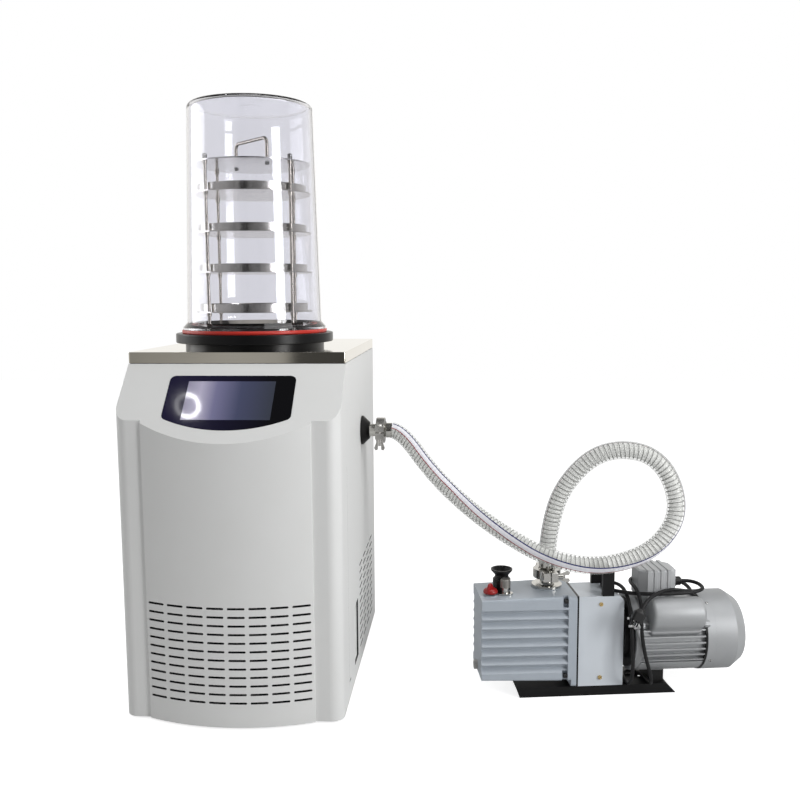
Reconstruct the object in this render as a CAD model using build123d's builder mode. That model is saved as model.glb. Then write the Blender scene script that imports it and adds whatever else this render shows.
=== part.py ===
from build123d import *
from math import cos, pi, radians, sin, sqrt, tan
import os

os.makedirs("parts", exist_ok=True)

# ---------------------------------------------------------------- driving dimensions (mm)
# Places of the two units on the floor
cabinet_x = -375.0          # cabinet's centre line
plate_front_y = -202.0      # front edge of the steel top plate
pump_x = 144.5              # front left foot of the pump's rails
pump_y = -163.3
pump_turn = 8.07            # degrees, the pump stands a little askew

# Casing
cabinet_w = 400.0
plate_depth = 476.0
plate_top = 660.0
plate_skirt = 20.0
sheet = 1.5                 # steel sheet of plate and panels
seam = 1.0                  # shadow gap under the plate's skirt
foot_h = 5.0
foot_r = 20.0
foot_inset = 45.0
pan_t = 2.0
pan_rim = 25.0
post_w = 20.0               # angle and square members of the frame
post_t = 2.0
fit_gap = 0.5               # slip clearance between sheet parts

# Front moulding
mould_t = 3.0
strip_y = 88.0              # how far the flat side strips stand before the plate
corner_r = 24.0
bow_half = 150.0            # half width of the bowed centre
bow_step = 4.0              # bow's edge stands this far before the strips
bow_rise = 30.0             # centre of the bow beyond its edges
slant = 43.8                # degrees from vertical, the control face

# Grilles
slot_w = 3.8
slot_row = 15.6
slot_rows = 12
front_slot = 31.0
front_pitch = 37.2
front_cols = 8
front_slots_mid = 136.0     # height of the pattern's middle
side_slot = 44.0
side_pitch = 64.0
side_cols = 4
side_slots_mid = 126.0
side_slots_y = 292.0        # behind the plate's front edge

# Recess and latch slot of the right side
scoop_y = 113.0
scoop_w = 56.0
scoop_h = 118.0
scoop_mid = 96.0
scoop_deep = 12.0
latch_y = 12.0
latch_z = 40.0

# Touch screen
pane_w = 229.0
pane_top = 28.0             # distances down the control face
pane_side = 122.0
pane_tip = 148.0
pane_t = 2.0
pane_sunk = 1.5
pane_corner = 11.0
pane_gap = 0.3
lcd_w = 158.0
lcd_h = 85.0
lcd_mid = 83.0
lcd_t = 9.0

# Chamber
chamber_y = 158.0           # chamber's centre behind the plate's front edge
neck_r = 135.0
neck_h = 11.6
ring_r = 153.0
ring_h = 17.9
ring_bore = 121.0
pot_r = 106.0
pot_t = 1.5
pot_depth = 300.0
pot_flange_t = 3.0
pot_gap = 0.5
seal_r = 141.0
seal_h = 7.0
jar_flange_r = 139.0
jar_flange_h = 9.0
jar_foot_r = 130.5
jar_top_r = 119.5
jar_wall = 5.0
jar_h = 428.0
jar_shoulder = 9.0
jar_gate_r = 21.0
jar_gate_h = 1.2
coil_tube_r = 5.0
coil_pitch = 14.0
coil_turns = 16
foam_t = 22.0

# Tray rack
rack_turn = -37.0           # degrees, first rod
rod_r = 3.0
rod_circle = 109.0
shelf_r = 113.5
shelf_t = 2.5
shelf_first = 57.0          # first shelf above the pot's flange
shelf_pitch = 75.0
shelf_count = 4
rack_top_rise = 56.0        # top plate above the last shelf
tray_r = 104.5
tray_h = 14.0
tray_t = 0.8
nut_r = 5.0
collar_r = 5.0
collar_h = 6.0
handle_wire = 3.3
handle_half = 56.0
handle_h = 45.0
handle_turn = -45.0
handle_bend = 11.0

# Vacuum line, a 25 mm flanged clamp system
port_y = 240.0              # port behind the plate's front edge
port_z = 482.0
line_r = 13.0
line_bore = 11.0
flange_r = 20.0
flange_rim = 2.6
flange_slope = 3.2
face_gap = 3.0
bush_r = 30.0
bush_tip_r = 17.0
bush_l = 17.0
bush_rim = 3.5
port_face = 38.5            # port's sealing face out from the side panel
collar_out_r = 15.5
adaptor_l = 23.0
clamp_r = 26.5
clamp_w = 17.6
clamp_lip_r = 16.0
lug_out = 11.0
lug_half = 14.0
clamp_split = 2.5
bolt_r = 2.5
wing_hub_r = 5.0
wing_h = 9.0
hose_r = 17.0

# Cooling plant in the cabinet
condenser_w = 270.0
condenser_h = 205.0
condenser_d = 40.0
condenser_y = -40.0         # its middle, before the plate's front edge
fan_r = 90.0
fan_hub_r = 22.0
fan_d = 24.0
fan_gap = 22.0
fan_blades = 5
fan_motor_r = 28.0
fan_motor_l = 55.0
compressor_x = -70.0
compressor_y = 330.0
compressor_r = 78.0
compressor_h = 205.0
pipe_r = 4.0

# Rear panel fittings
inlet_x = -120.0
inlet_z = 90.0
inlet_w = 28.0
inlet_h = 58.0
inlet_stand = 3.0
rocker_turn = 10.0
drain_x = 110.0
drain_z = 70.0
drain_r = 9.0

# Vacuum pump: rails and coupling housing
pump_mid = 42.0             # shaft line behind the rails' front face
shaft_z = 110.0
rail_l = 302.7
rail_h = 19.0
rail_t = 3.0
rail_gap = 12.0
rail_lean_left = 7.0
rail_lean_right = 17.7
box_start = -75.0
plate_start = 94.6
plate_end = 104.6
box_w = 116.0
box_top = 201.0
box_bottom = 36.0
box_draft = 1.6
box_wall = 6.0
fin_count = 7
fin_pitch = 17.6
fin_top = 176.0
fin_deep = 9.0
box_rim = 7.0
pocket = 10.5
pocket_high = 21.0
box_bolt_r = 4.5
pad_rise = 1.2
box_bolts = 145.0           # height between the two rows of bolts
block_w = 112.0
block_h = 174.0
block_mid = 112.0
boss_top = 152.0
cover_start = 107.0
cover_end = 198.0
cover_top = 195.0
cover_t = 1.5
cover_round = 14.0
web_x = 153.6
cover_bolts = (35.7, 179.5)
cover_bolt_r = 1.9
bell_start = 199.5
bell_l = 9.5
bell_r = 50.0
shaft_r = 8.0
shaft_gap = 0.05
turn_gap = 0.1              # end play of the turning parts
body_gap = 0.3              # between pieces that move apart
stator_r = 40.0
stator_bore = 29.0
rotor_r = 23.9
rotor_offset = 5.0          # the bore's centre lies this far below the shaft
rotor_l = 74.0
vane_w = 3.0
hub_r = 22.0
hub_mid = 170.0
hub_l = 24.0
claw_half = radians(26)
housing_t = 2.4             # its plate, seen as a dark line before the cover
housing_bore = 30.0
housing_r = 38.0
handle_w = 22.0
handle_t = 9.0
handle_top = 243.0
handle_mid = 167.0
handle_span = 78.0

# Vacuum pump: fittings on the oil box
intake_x = 62.0
intake_y = 56.0
intake_r = 29.0
intake_t = 4.0
intake_face = 225.5
exhaust_x = -28.0
exhaust_y = 46.0
exhaust_h = 41.0
exhaust_mouth = 20.5
filler_x = -54.0
filler_y = 20.0
filler_r = 13.0
filler_spigot = 8.0
filler_top = 226.0
ballast_x = -26.0
ballast_y = 18.0
ballast_r = 9.2
ballast_top = 228.0
ballast_seat = 212.0
ballast_pin_r = 3.0
ballast_pin = 8.0
plug_z = 52.0

# Motor
motor_r = 74.0
motor_skin = 66.0
motor_bore = 58.0
motor_start = 226.0
motor_end = 352.0
shield_t = 12.0
cowl_start = 366.0
cowl_shoulder = 407.0
cowl_end = 428.0
cowl_r = 75.5
cowl_end_r = 61.0
cowl_t = 1.5
motor_fins = 7
motor_fin_pitch = 12.0
motor_foot_x = 268.0
motor_foot_l = 26.0
core_r = 45.0
core_gap = 0.6
motor_fan_r = 62.0
cap_start = 226.0
cap_end = 340.0
cap_r = 30.0
cap_angle = 138.5           # degrees from the backward direction, round the shaft line
cap_out = 83.0
cap_wall = 2.0
term_start = 231.0
term_end = 305.0
term_half = 32.0
term_top = 238.0
term_ribs = 4
term_low = 185.0
term_corner = 14.0
term_rib_pitch = 13.0
term_wall = 2.5
gland_r = 10.0
gland_l = 17.0
gland_z = 207.0
cord_r = 3.5

# ---------------------------------------------------------------- planes and shared values
casing_top = plate_top - plate_skirt - seam
casing_bottom = foot_h
half_w = cabinet_w / 2
cabinet = Plane(origin=(cabinet_x, plate_front_y, 0))
rear_y = plate_front_y + plate_depth
pan_top = foot_h + pan_t
frame_top = plate_top - sheet
chamber = Plane(origin=(cabinet_x, plate_front_y + chamber_y, 0))
chamber_side = Plane(origin=chamber.origin, x_dir=(1, 0, 0), z_dir=(0, -1, 0))
control_face = Plane(
    origin=(cabinet_x, plate_front_y, casing_top),
    x_dir=(1, 0, 0),
    z_dir=(0, -cos(radians(slant)), sin(radians(slant))),
)
bow_radius = (bow_half**2 + bow_rise**2) / (2 * bow_rise)
bow_centre = bow_radius - strip_y - bow_step - bow_rise
ring_low = plate_top + neck_h
ring_top = ring_low + ring_h
pot_flange_low = ring_low + 0.4
pot_rim = pot_flange_low + pot_flange_t
seal_top = ring_top + seal_h
jar_top = seal_top + jar_h
coil_r = pot_r + pot_gap + coil_tube_r
foam_bore = coil_r + coil_tube_r + pot_gap
foam_r = foam_bore + foam_t
coil_low = pot_rim - pot_depth + 24.0
foam_low = pot_rim - pot_depth - foam_t
foam_high = frame_top - post_w
coil_rows = [coil_low + coil_pitch * i for i in range(coil_turns)]
suction_z = coil_rows[-1]
shelf_tops = [pot_rim + shelf_first + shelf_pitch * i for i in range(shelf_count)]
rack_top = shelf_tops[-1] + rack_top_rise
port = Plane(
    origin=(cabinet_x + half_w, plate_front_y + port_y, port_z),
    x_dir=(0, -1, 0),
    z_dir=(1, 0, 0),
)
port_joint = port.offset(port_face + face_gap / 2)

pump = Plane(
    origin=(pump_x, pump_y, 0),
    x_dir=(cos(radians(pump_turn)), sin(radians(pump_turn)), 0),
    z_dir=(0, 0, 1),
)
box_rise = (plate_start - box_start) * tan(radians(box_draft))
box_end_top = box_top - box_rise


def across(along, back=pump_mid, up=shaft_z):
    """Plane square to the pump's shaft: its X points back and its Y points up."""
    return Plane(
        origin=pump.from_local_coords((along, back, up)),
        x_dir=pump.y_dir,
        z_dir=pump.x_dir,
    )


def facing_front(along, back, up):
    """Plane parallel to the pump's side: its X runs along the shaft and its Y points up."""
    return Plane(
        origin=pump.from_local_coords((along, back, up)),
        x_dir=pump.x_dir,
        z_dir=-pump.y_dir,
    )


def on_pump(along, back, up):
    """Horizontal plane at a point given in the pump's own directions."""
    return Plane(
        origin=pump.from_local_coords((along, back, up)),
        x_dir=pump.x_dir,
        z_dir=(0, 0, 1),
    )


def save(piece, name):
    piece.part.label = name
    export_step(piece.part, f"parts/{name}.step")


# ---------------------------------------------------------------- cabinet: chassis and casing
# Base pan, four corner posts and the top ring that carries the plate, welded into one frame.
pan_front = -(strip_y - mould_t - fit_gap)
pan_back = plate_depth - sheet
pan_nose = half_w - mould_t - fit_gap
post_half = half_w - sheet
post_rows = (sheet + post_w / 2, plate_depth - sheet - post_w / 2)


def pan_outline(inset):
    """Outline of the base pan: full width behind, narrower inside the front moulding."""
    front = pan_front + inset
    back = pan_back - inset
    with BuildSketch(Plane.XY) as outline:
        with Locations((0, (front + back) / 2)):
            RectangleRounded(2 * (pan_nose - inset), back - front, corner_r - inset)
        with Locations((0, (sheet + inset + back) / 2)):
            Rectangle(2 * (post_half - inset), back - inset - sheet)
    return outline.sketch


with BuildPart() as chassis:
    with BuildSketch(cabinet.offset(foot_h)):
        add(pan_outline(0))
    extrude(amount=pan_rim)
    with BuildSketch(cabinet.offset(pan_top)):
        add(pan_outline(pan_t))
    extrude(amount=pan_rim, mode=Mode.SUBTRACT)
    with BuildSketch(cabinet.offset(pan_top)):
        for row in post_rows:
            with Locations((-post_half + post_w / 2, row), (post_half - post_w / 2, row)):
                Rectangle(post_w, post_w)
                Rectangle(post_w - 2 * post_t, post_w - 2 * post_t, mode=Mode.SUBTRACT)
    extrude(amount=frame_top - post_w - pan_top)
    with BuildSketch(cabinet.offset(frame_top - post_w)):
        with Locations((0, (post_rows[0] + post_rows[1]) / 2)):
            ring_deep = post_rows[1] - post_rows[0] + post_w
            RectangleRounded(2 * post_half, ring_deep, 2 * sheet)
            Rectangle(2 * (post_half - post_w), ring_deep - 2 * post_w, mode=Mode.SUBTRACT)
    extrude(amount=post_w)
save(chassis, "chassis")

with BuildPart() as feet:
    with BuildSketch(cabinet):
        for row in (pan_front + foot_inset, pan_back - foot_inset):
            with Locations((-half_w + foot_inset, row), (half_w - foot_inset, row)):
                Circle(foot_r)
    extrude(amount=foot_h)
    chamfer(feet.edges().group_by(Axis.Z)[0], foot_h / 4)
save(feet, "feet")


def front_block(inset, rear):
    """Outline of the front moulding as a solid, drawn in from its outer faces."""
    side = half_w - inset
    strip = -strip_y + inset
    turn = corner_r - inset
    bow = bow_half - inset
    bow_edge = bow_centre - sqrt((bow_radius - inset) ** 2 - bow**2)
    corner = sqrt(0.5) * turn
    with BuildPart() as block:
        with BuildSketch(cabinet.offset(casing_bottom - rear)):
            with BuildLine():
                Polyline((side, strip + turn), (side, rear), (-side, rear), (-side, strip + turn))
                ThreePointArc(
                    (-side, strip + turn),
                    (-side + turn - corner, strip + turn - corner),
                    (-side + turn, strip),
                )
                Polyline((-side + turn, strip), (-bow, strip), (-bow, bow_edge))
                ThreePointArc(
                    (-bow, bow_edge), (0, bow_centre - bow_radius + inset), (bow, bow_edge)
                )
                Polyline((bow, bow_edge), (bow, strip), (side - turn, strip))
                ThreePointArc(
                    (side - turn, strip),
                    (side - turn + corner, strip + turn - corner),
                    (side, strip + turn),
                )
            make_face()
        extrude(amount=casing_top - casing_bottom + rear)
        split(bisect_by=control_face.offset(-inset), keep=Keep.BOTTOM)
    return block.part


def pane_outline(grow):
    """Outline of the screen's glass in the control face, with its curved lower edge."""
    side = pane_w / 2 + grow
    with BuildSketch(Plane.XY) as outline:
        with BuildLine():
            Polyline(
                (-side, -pane_side - grow),
                (-side, -pane_top + grow),
                (side, -pane_top + grow),
                (side, -pane_side - grow),
            )
            ThreePointArc(
                (side, -pane_side - grow), (0, -pane_tip - grow), (-side, -pane_side - grow)
            )
        make_face()
        fillet(outline.vertices(), pane_corner)
    return outline.sketch


# Moulded front: sloping control face, flat side strips and a bowed, slotted centre.
with BuildPart() as front_panel:
    add(front_block(0, 0))
    add(front_block(mould_t, 1), mode=Mode.SUBTRACT)
    slot_face = Plane(
        origin=(cabinet_x, plate_front_y - strip_y - bow_step - 2 * bow_rise, front_slots_mid),
        x_dir=(1, 0, 0),
        z_dir=(0, 1, 0),
    )
    with BuildSketch(slot_face):
        with GridLocations(front_pitch, slot_row, front_cols, slot_rows):
            SlotOverall(front_slot, slot_w)
    extrude(amount=2 * bow_rise + 2 * mould_t, mode=Mode.SUBTRACT)
    with BuildSketch(control_face.offset(-pane_sunk)):
        add(pane_outline(pane_gap))
    extrude(amount=pane_sunk, mode=Mode.SUBTRACT)
    with BuildSketch(control_face.offset(-mould_t)):
        with Locations((0, -lcd_mid)):
            Rectangle(lcd_w + 2 * pane_gap, lcd_h + 2 * pane_gap)
    extrude(amount=mould_t, mode=Mode.SUBTRACT)
save(front_panel, "front_panel")

with BuildPart() as screen_glass:
    with BuildSketch(control_face.offset(-pane_sunk)):
        add(pane_outline(0))
    extrude(amount=pane_t)
    chamfer(screen_glass.faces().sort_by(SortBy.AREA)[-2:].edges(), 0.3)
save(screen_glass, "screen_glass")

# Display behind the glass: the lit module fills the window, its back box seats on the wall.
lcd_rim = 6.0
with BuildPart() as display_module:
    with BuildSketch(control_face.offset(-mould_t - lcd_t)):
        with Locations((0, -lcd_mid)):
            Rectangle(lcd_w + 2 * lcd_rim, lcd_h + 2 * lcd_rim)
    extrude(amount=lcd_t)
    with BuildSketch(control_face.offset(-mould_t)):
        with Locations((0, -lcd_mid)):
            Rectangle(lcd_w, lcd_h)
    extrude(amount=mould_t - pane_sunk)

# Side panels: folded sheet; the right one carries vents, a scooped recess and the port.
panel_front = plate_front_y + fit_gap
panel_deep = plate_depth - fit_gap
panel_high = casing_top - casing_bottom


def side_panel(side):
    """Blank of the side panel on the cabinet's left (-1) or right (1)."""
    outer = cabinet_x + side * half_w
    wall = Plane(origin=(outer, panel_front, casing_bottom), x_dir=(0, 1, 0), z_dir=(side, 0, 0))
    with BuildPart() as panel:
        with BuildSketch(wall.offset(-sheet)):
            with Locations((panel_deep / 2, side * panel_high / 2)):
                Rectangle(panel_deep, panel_high)
        extrude(amount=sheet)
    return panel.part


with BuildPart() as left_panel:
    add(side_panel(-1))
save(left_panel, "left_panel")

right_wall = Plane(
    origin=(cabinet_x + half_w, plate_front_y, 0), x_dir=(0, 1, 0), z_dir=(1, 0, 0)
)
with BuildPart() as right_panel:
    add(side_panel(1))
    with BuildSketch(right_wall.offset(-scoop_deep - sheet)):
        with Locations((scoop_y, scoop_mid)):
            Rectangle(scoop_w + 2 * sheet, scoop_h + 2 * sheet)
    extrude(amount=scoop_deep + sheet)
    with BuildSketch(Plane(origin=(cabinet_x + half_w, plate_front_y, scoop_mid - scoop_h / 2))):
        with BuildLine():
            Polyline(
                (0, scoop_y - scoop_w / 2),
                (0, scoop_y + scoop_w / 2),
                (-scoop_deep, scoop_y + scoop_w / 2),
                close=True,
            )
        make_face()
    extrude(amount=scoop_h, mode=Mode.SUBTRACT)
    with BuildSketch(Plane(origin=(cabinet_x + half_w, plate_front_y, scoop_mid - scoop_h / 2 - sheet))):
        with BuildLine():
            Polyline(
                (-scoop_deep - 2 * sheet, scoop_y - scoop_w / 2 - 2 * sheet),
                (-sheet, scoop_y - scoop_w / 2 - 2 * sheet),
                (-sheet, scoop_y - scoop_w / 2 - sheet),
                (-scoop_deep - 2 * sheet, scoop_y + scoop_w / 2 - sheet),
                close=True,
            )
        make_face()
    extrude(amount=scoop_h + 2 * sheet, mode=Mode.SUBTRACT)
    with BuildSketch(right_wall):
        with Locations((side_slots_y, side_slots_mid)):
            with GridLocations(side_pitch, slot_row, side_cols, slot_rows):
                SlotOverall(side_slot, slot_w)
        with Locations((latch_y, latch_z)):
            SlotOverall(16, slot_w)
        with Locations((port_y, port_z)):
            Circle(line_r + fit_gap)
    extrude(amount=-2 * sheet, mode=Mode.SUBTRACT)
save(right_panel, "right_panel")

# Rear panel between the side panels: fan vents, mains inlet cut-out and the drain's hole.
rear_wall = Plane(origin=(cabinet_x, rear_y, 0), x_dir=(-1, 0, 0), z_dir=(0, 1, 0))
with BuildPart() as rear_panel:
    with BuildSketch(rear_wall):
        with Locations((0, (casing_top + casing_bottom) / 2)):
            Rectangle(2 * (post_half - fit_gap / 2), panel_high)
        with Locations((-inlet_x, inlet_z)):
            Rectangle(inlet_w + 2 * pane_gap, inlet_h + 2 * pane_gap, mode=Mode.SUBTRACT)
        with Locations((-drain_x, drain_z)):
            Circle(drain_r + fit_gap, mode=Mode.SUBTRACT)
        with Locations((0, side_slots_mid + 190)):
            with GridLocations(side_pitch, slot_row, side_cols, slot_rows):
                SlotOverall(side_slot, slot_w, mode=Mode.SUBTRACT)
    extrude(amount=-sheet)
save(rear_panel, "rear_panel")

# Stainless top plate: a shallow pressed tray, upside down, with the chamber's hole.
with BuildPart() as top_plate:
    with BuildSketch(cabinet.offset(plate_top - plate_skirt)):
        with Locations((0, plate_depth / 2)):
            RectangleRounded(cabinet_w, plate_depth, 2 * sheet)
    extrude(amount=plate_skirt)
    with BuildSketch(cabinet.offset(plate_top - plate_skirt)):
        with Locations((0, plate_depth / 2)):
            RectangleRounded(cabinet_w - 2 * sheet, plate_depth - 2 * sheet, sheet)
    extrude(amount=plate_skirt - sheet, mode=Mode.SUBTRACT)
    with BuildSketch(chamber.offset(plate_top)):
        Circle(pot_r + 3 * pot_gap)
    extrude(amount=-sheet, mode=Mode.SUBTRACT)
    fillet(top_plate.faces().sort_by(Axis.Z)[-1].outer_wire().edges(), sheet * 0.6)
save(top_plate, "top_plate")


# ---------------------------------------------------------------- chamber on top
# Cold trap: deep-drawn steel pot, hung by its rim in the black ring.
with BuildPart() as cold_trap_pot:
    with BuildSketch(chamber_side):
        with BuildLine():
            low = pot_rim - pot_depth
            Polyline(
                (0, low),
                (pot_r, low),
                (pot_r, pot_flange_low),
                (ring_bore - pot_gap, pot_flange_low),
                (ring_bore - pot_gap, pot_rim),
                (pot_r - pot_t, pot_rim),
                (pot_r - pot_t, low + pot_t),
                (0, low + pot_t),
                close=True,
            )
        make_face()
    revolve(axis=Axis(chamber.origin, (0, 0, 1)))
    with BuildSketch(port.offset(-half_w)):
        Circle(line_bore)
    extrude(amount=half_w, mode=Mode.SUBTRACT)
save(cold_trap_pot, "cold_trap_pot")

# Foam jacket round the evaporator coil, closed below, with a hole for the vacuum line.
with BuildPart() as trap_insulation:
    with BuildSketch(chamber.offset(foam_low)):
        Circle(foam_r)
    extrude(amount=foam_high - foam_low)
    with BuildSketch(chamber.offset(pot_rim - pot_depth)):
        Circle(foam_bore)
    extrude(amount=foam_high, mode=Mode.SUBTRACT)
    with BuildSketch(port.offset(-half_w)):
        Circle(line_r + fit_gap)
    extrude(amount=half_w, mode=Mode.SUBTRACT)
    with BuildSketch(chamber.offset(foam_low)):
        with Locations((coil_r, 0)):
            Circle(pipe_r + pane_gap)
    extrude(amount=foam_t, mode=Mode.SUBTRACT)
    with BuildSketch(Plane(origin=chamber.from_local_coords((0, 0, suction_z)), z_dir=(0, 1, 0))):
        Circle(pipe_r + pane_gap)
    extrude(amount=foam_r + pipe_r, mode=Mode.SUBTRACT)
save(trap_insulation, "trap_insulation")

# Black seat ring: a narrow neck on the plate, then the wide ring that carries the jar.
with BuildPart() as chamber_ring:
    with BuildSketch(chamber_side):
        with BuildLine():
            Polyline(
                (pot_r + pot_gap, plate_top),
                (neck_r, plate_top),
                (neck_r, ring_low),
                (ring_r, ring_low),
                (ring_r, ring_top),
                (ring_bore, ring_top),
                (ring_bore, pot_flange_low),
                (pot_r + pot_gap, pot_flange_low),
                close=True,
            )
        make_face()
    revolve(axis=Axis(chamber.origin, (0, 0, 1)))
    outer_edges = chamber_ring.edges().filter_by(GeomType.CIRCLE).sort_by(SortBy.RADIUS)[-2:]
    fillet(outer_edges, 2)
save(chamber_ring, "chamber_ring")

with BuildPart() as chamber_seal:
    with BuildSketch(chamber.offset(ring_top)):
        Circle(seal_r)
        Circle(ring_bore, mode=Mode.SUBTRACT)
    extrude(amount=seal_h)
    seal_rims = chamber_seal.edges().filter_by(GeomType.CIRCLE).sort_by(SortBy.RADIUS)[-2:]
    fillet(seal_rims, seal_h * 0.3)
save(chamber_seal, "chamber_seal")

# Clear bell jar: a drafted wall that flares into a flange, closed by a flat top.
with BuildPart() as bell_jar:
    with BuildSketch(chamber_side) as jar_section:
        with BuildLine():
            flare = seal_top + jar_flange_h
            Polyline(
                (jar_flange_r, seal_top),
                (jar_flange_r, flare - jar_wall),
                (jar_foot_r, flare + jar_wall),
                (jar_top_r, jar_top),
                (0, jar_top),
                (0, jar_top - jar_wall),
                (jar_top_r - jar_wall, jar_top - jar_wall),
                (jar_foot_r - jar_wall, seal_top),
                close=True,
            )
        make_face()
        crown = jar_section.vertices().group_by(Axis.Y)
        fillet(crown[-1].sort_by(Axis.X)[-1], jar_shoulder)
        crown = jar_section.vertices().filter_by_position(
            Axis.Y, jar_top - jar_wall - 0.1, jar_top - jar_wall + 0.1
        )
        fillet(crown.sort_by(Axis.X)[-1], jar_shoulder - jar_wall / 2)
    revolve(axis=Axis(chamber.origin, (0, 0, 1)))
    with BuildSketch(chamber.offset(jar_top - jar_wall / 2)):
        Circle(jar_gate_r)
    extrude(amount=jar_wall / 2 + jar_gate_h)
save(bell_jar, "bell_jar")

# ---------------------------------------------------------------- tray rack
rod_top = rack_top + nut_r + 2

# Four rods stand on the pot's rim; each carries a collar under every shelf.
with BuildPart() as rack_rods:
    with BuildSketch(chamber.offset(pot_rim)):
        with PolarLocations(rod_circle, 4, start_angle=rack_turn):
            Circle(rod_r)
    extrude(amount=rod_top - pot_rim)
    for shelf in shelf_tops + [rack_top]:
        with BuildSketch(chamber.offset(shelf - shelf_t - collar_h)):
            with PolarLocations(rod_circle, 4, start_angle=rack_turn):
                Circle(min(collar_r, shelf_r - rod_circle))
        extrude(amount=collar_h)
save(rack_rods, "rack_rods")

def shelf_disc(top):
    """Sheet disc with a hole for each rod, its upper face at the given height."""
    with BuildPart() as disc:
        with BuildSketch(chamber.offset(top - shelf_t)):
            Circle(shelf_r)
            with PolarLocations(rod_circle, 4, start_angle=rack_turn):
                Circle(rod_r, mode=Mode.SUBTRACT)
        extrude(amount=shelf_t)
    return disc.part


with BuildPart() as rack_shelves:
    for shelf in shelf_tops:
        add(shelf_disc(shelf))
save(rack_shelves, "rack_shelves")

with BuildPart() as trays:
    for shelf in shelf_tops:
        with BuildSketch(chamber.offset(shelf)):
            Circle(tray_r)
        extrude(amount=tray_h)
        with BuildSketch(chamber.offset(shelf + tray_t)):
            Circle(tray_r - tray_t)
        extrude(amount=tray_h, mode=Mode.SUBTRACT)
save(trays, "trays")

grip_x = handle_half * cos(radians(handle_turn))
grip_y = handle_half * sin(radians(handle_turn))
grip_screw_r = handle_wire * 0.6
with BuildPart() as rack_top_plate:
    add(shelf_disc(rack_top))
    with BuildSketch(chamber.offset(rack_top - shelf_t)):
        with Locations((grip_x, grip_y), (-grip_x, -grip_y)):
            Circle(grip_screw_r)
    extrude(amount=shelf_t, mode=Mode.SUBTRACT)
save(rack_top_plate, "rack_top_plate")

# Bent wire handle, held from below by two round-headed screws.
lift = chamber.offset(rack_top)
with BuildPart() as rack_handle:
    with BuildLine():
        FilletPolyline(
            lift.from_local_coords((grip_x, grip_y, 0)),
            lift.from_local_coords((grip_x, grip_y, handle_h)),
            lift.from_local_coords((-grip_x, -grip_y, handle_h)),
            lift.from_local_coords((-grip_x, -grip_y, 0)),
            radius=handle_bend,
        )
    with BuildSketch(Plane(origin=lift.from_local_coords((grip_x, grip_y, 0)))):
        Circle(handle_wire)
    sweep()
save(rack_handle, "rack_handle")

# Cap nuts on the rods and the round-headed screws that hold the handle from below.
with BuildPart() as rack_fasteners:
    with BuildSketch(chamber.offset(rack_top)):
        with PolarLocations(rod_circle, 4, start_angle=rack_turn):
            Circle(min(nut_r, shelf_r - rod_circle))
    extrude(amount=rod_top - rack_top + rod_r)
    fillet(rack_fasteners.edges().group_by(Axis.Z)[-1], rod_r)
    with BuildSketch(chamber.offset(rack_top)):
        with PolarLocations(rod_circle, 4, start_angle=rack_turn):
            Circle(rod_r)
    extrude(amount=rod_top - rack_top, mode=Mode.SUBTRACT)
    with BuildSketch(chamber.offset(rack_top - shelf_t - handle_wire)):
        with Locations((grip_x, grip_y), (-grip_x, -grip_y)):
            Circle(handle_wire * 1.3)
    extrude(amount=handle_wire)
    fillet(rack_fasteners.edges().group_by(Axis.Z)[0], handle_wire * 0.6)
    with BuildSketch(chamber.offset(rack_top)):
        with Locations((grip_x, grip_y), (-grip_x, -grip_y)):
            Circle(grip_screw_r)
    extrude(amount=-shelf_t)
save(rack_fasteners, "rack_fasteners")

# ---------------------------------------------------------------- vacuum line fittings
intake = on_pump(intake_x, intake_y, 0)
intake_joint = Plane(
    origin=intake.offset(intake_face + face_gap / 2).origin,
    x_dir=-pump.y_dir,
    z_dir=(0, 0, 1),
)


def upright(plane):
    """Plane through a round piece's axis: its X is the radius and its Y runs along the axis."""
    return Plane(origin=plane.origin, x_dir=plane.x_dir, z_dir=-plane.y_dir)


def axis_of(plane):
    """The axis of a round piece that stands square on the plane."""
    return Axis(plane.origin, plane.z_dir)


def ring(plane, points):
    """Round piece turned about the plane's normal from (radius, height) points."""
    with BuildPart() as turned:
        with BuildSketch(upright(plane)):
            with BuildLine():
                Polyline(*points, close=True)
            make_face()
        revolve(axis=axis_of(plane))
    return turned.part


def flange(plane, face, away):
    """Clamp flange on a round line: sealing face at height `face`, body on its side `away`."""
    back = face + away * (flange_rim + flange_slope)
    return ring(
        plane,
        [
            (line_bore, face),
            (flange_r, face),
            (flange_r, face + away * flange_rim),
            (line_r + 1, back),
            (line_bore, back),
        ],
    )


# Rubber bush that closes the hole in the side panel round the port's tube.
with BuildPart() as port_bush:
    add(
        ring(
            port,
            [
                (line_r, 0),
                (bush_r, 0),
                (bush_r, bush_rim),
                (bush_tip_r, bush_l),
                (line_r, bush_l),
            ],
        )
    )
    fillet(port_bush.edges().filter_by(GeomType.CIRCLE).group_by(SortBy.RADIUS)[-1], 1)
save(port_bush, "port_bush")

with BuildPart() as port_tube:
    with BuildSketch(port.offset(-half_w)):
        Circle(line_r)
        Circle(line_bore, mode=Mode.SUBTRACT)
    extrude(amount=half_w + port_face - flange_rim)
    with BuildSketch(chamber.offset(pot_rim - pot_depth)):
        Circle(pot_r)
    extrude(amount=pot_depth, mode=Mode.SUBTRACT)
    add(flange(port, port_face, -1))
save(port_tube, "port_tube")


def centring_ring(joint):
    """Sleeve that sits in both bores, with the rubber ring between the two flanges."""
    sleeve = line_bore - 0.05
    return ring(
        joint,
        [
            (sleeve - 1, -4),
            (sleeve, -4),
            (sleeve, -face_gap / 2),
            (sleeve + 4, -face_gap / 2),
            (sleeve + 5.5, 0),
            (sleeve + 4, face_gap / 2),
            (sleeve, face_gap / 2),
            (sleeve, 4),
            (sleeve - 1, 4),
        ],
    )


with BuildPart() as centring_rings:
    add(centring_ring(port_joint))
    add(centring_ring(intake_joint))
save(centring_rings, "centring_rings")


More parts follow.
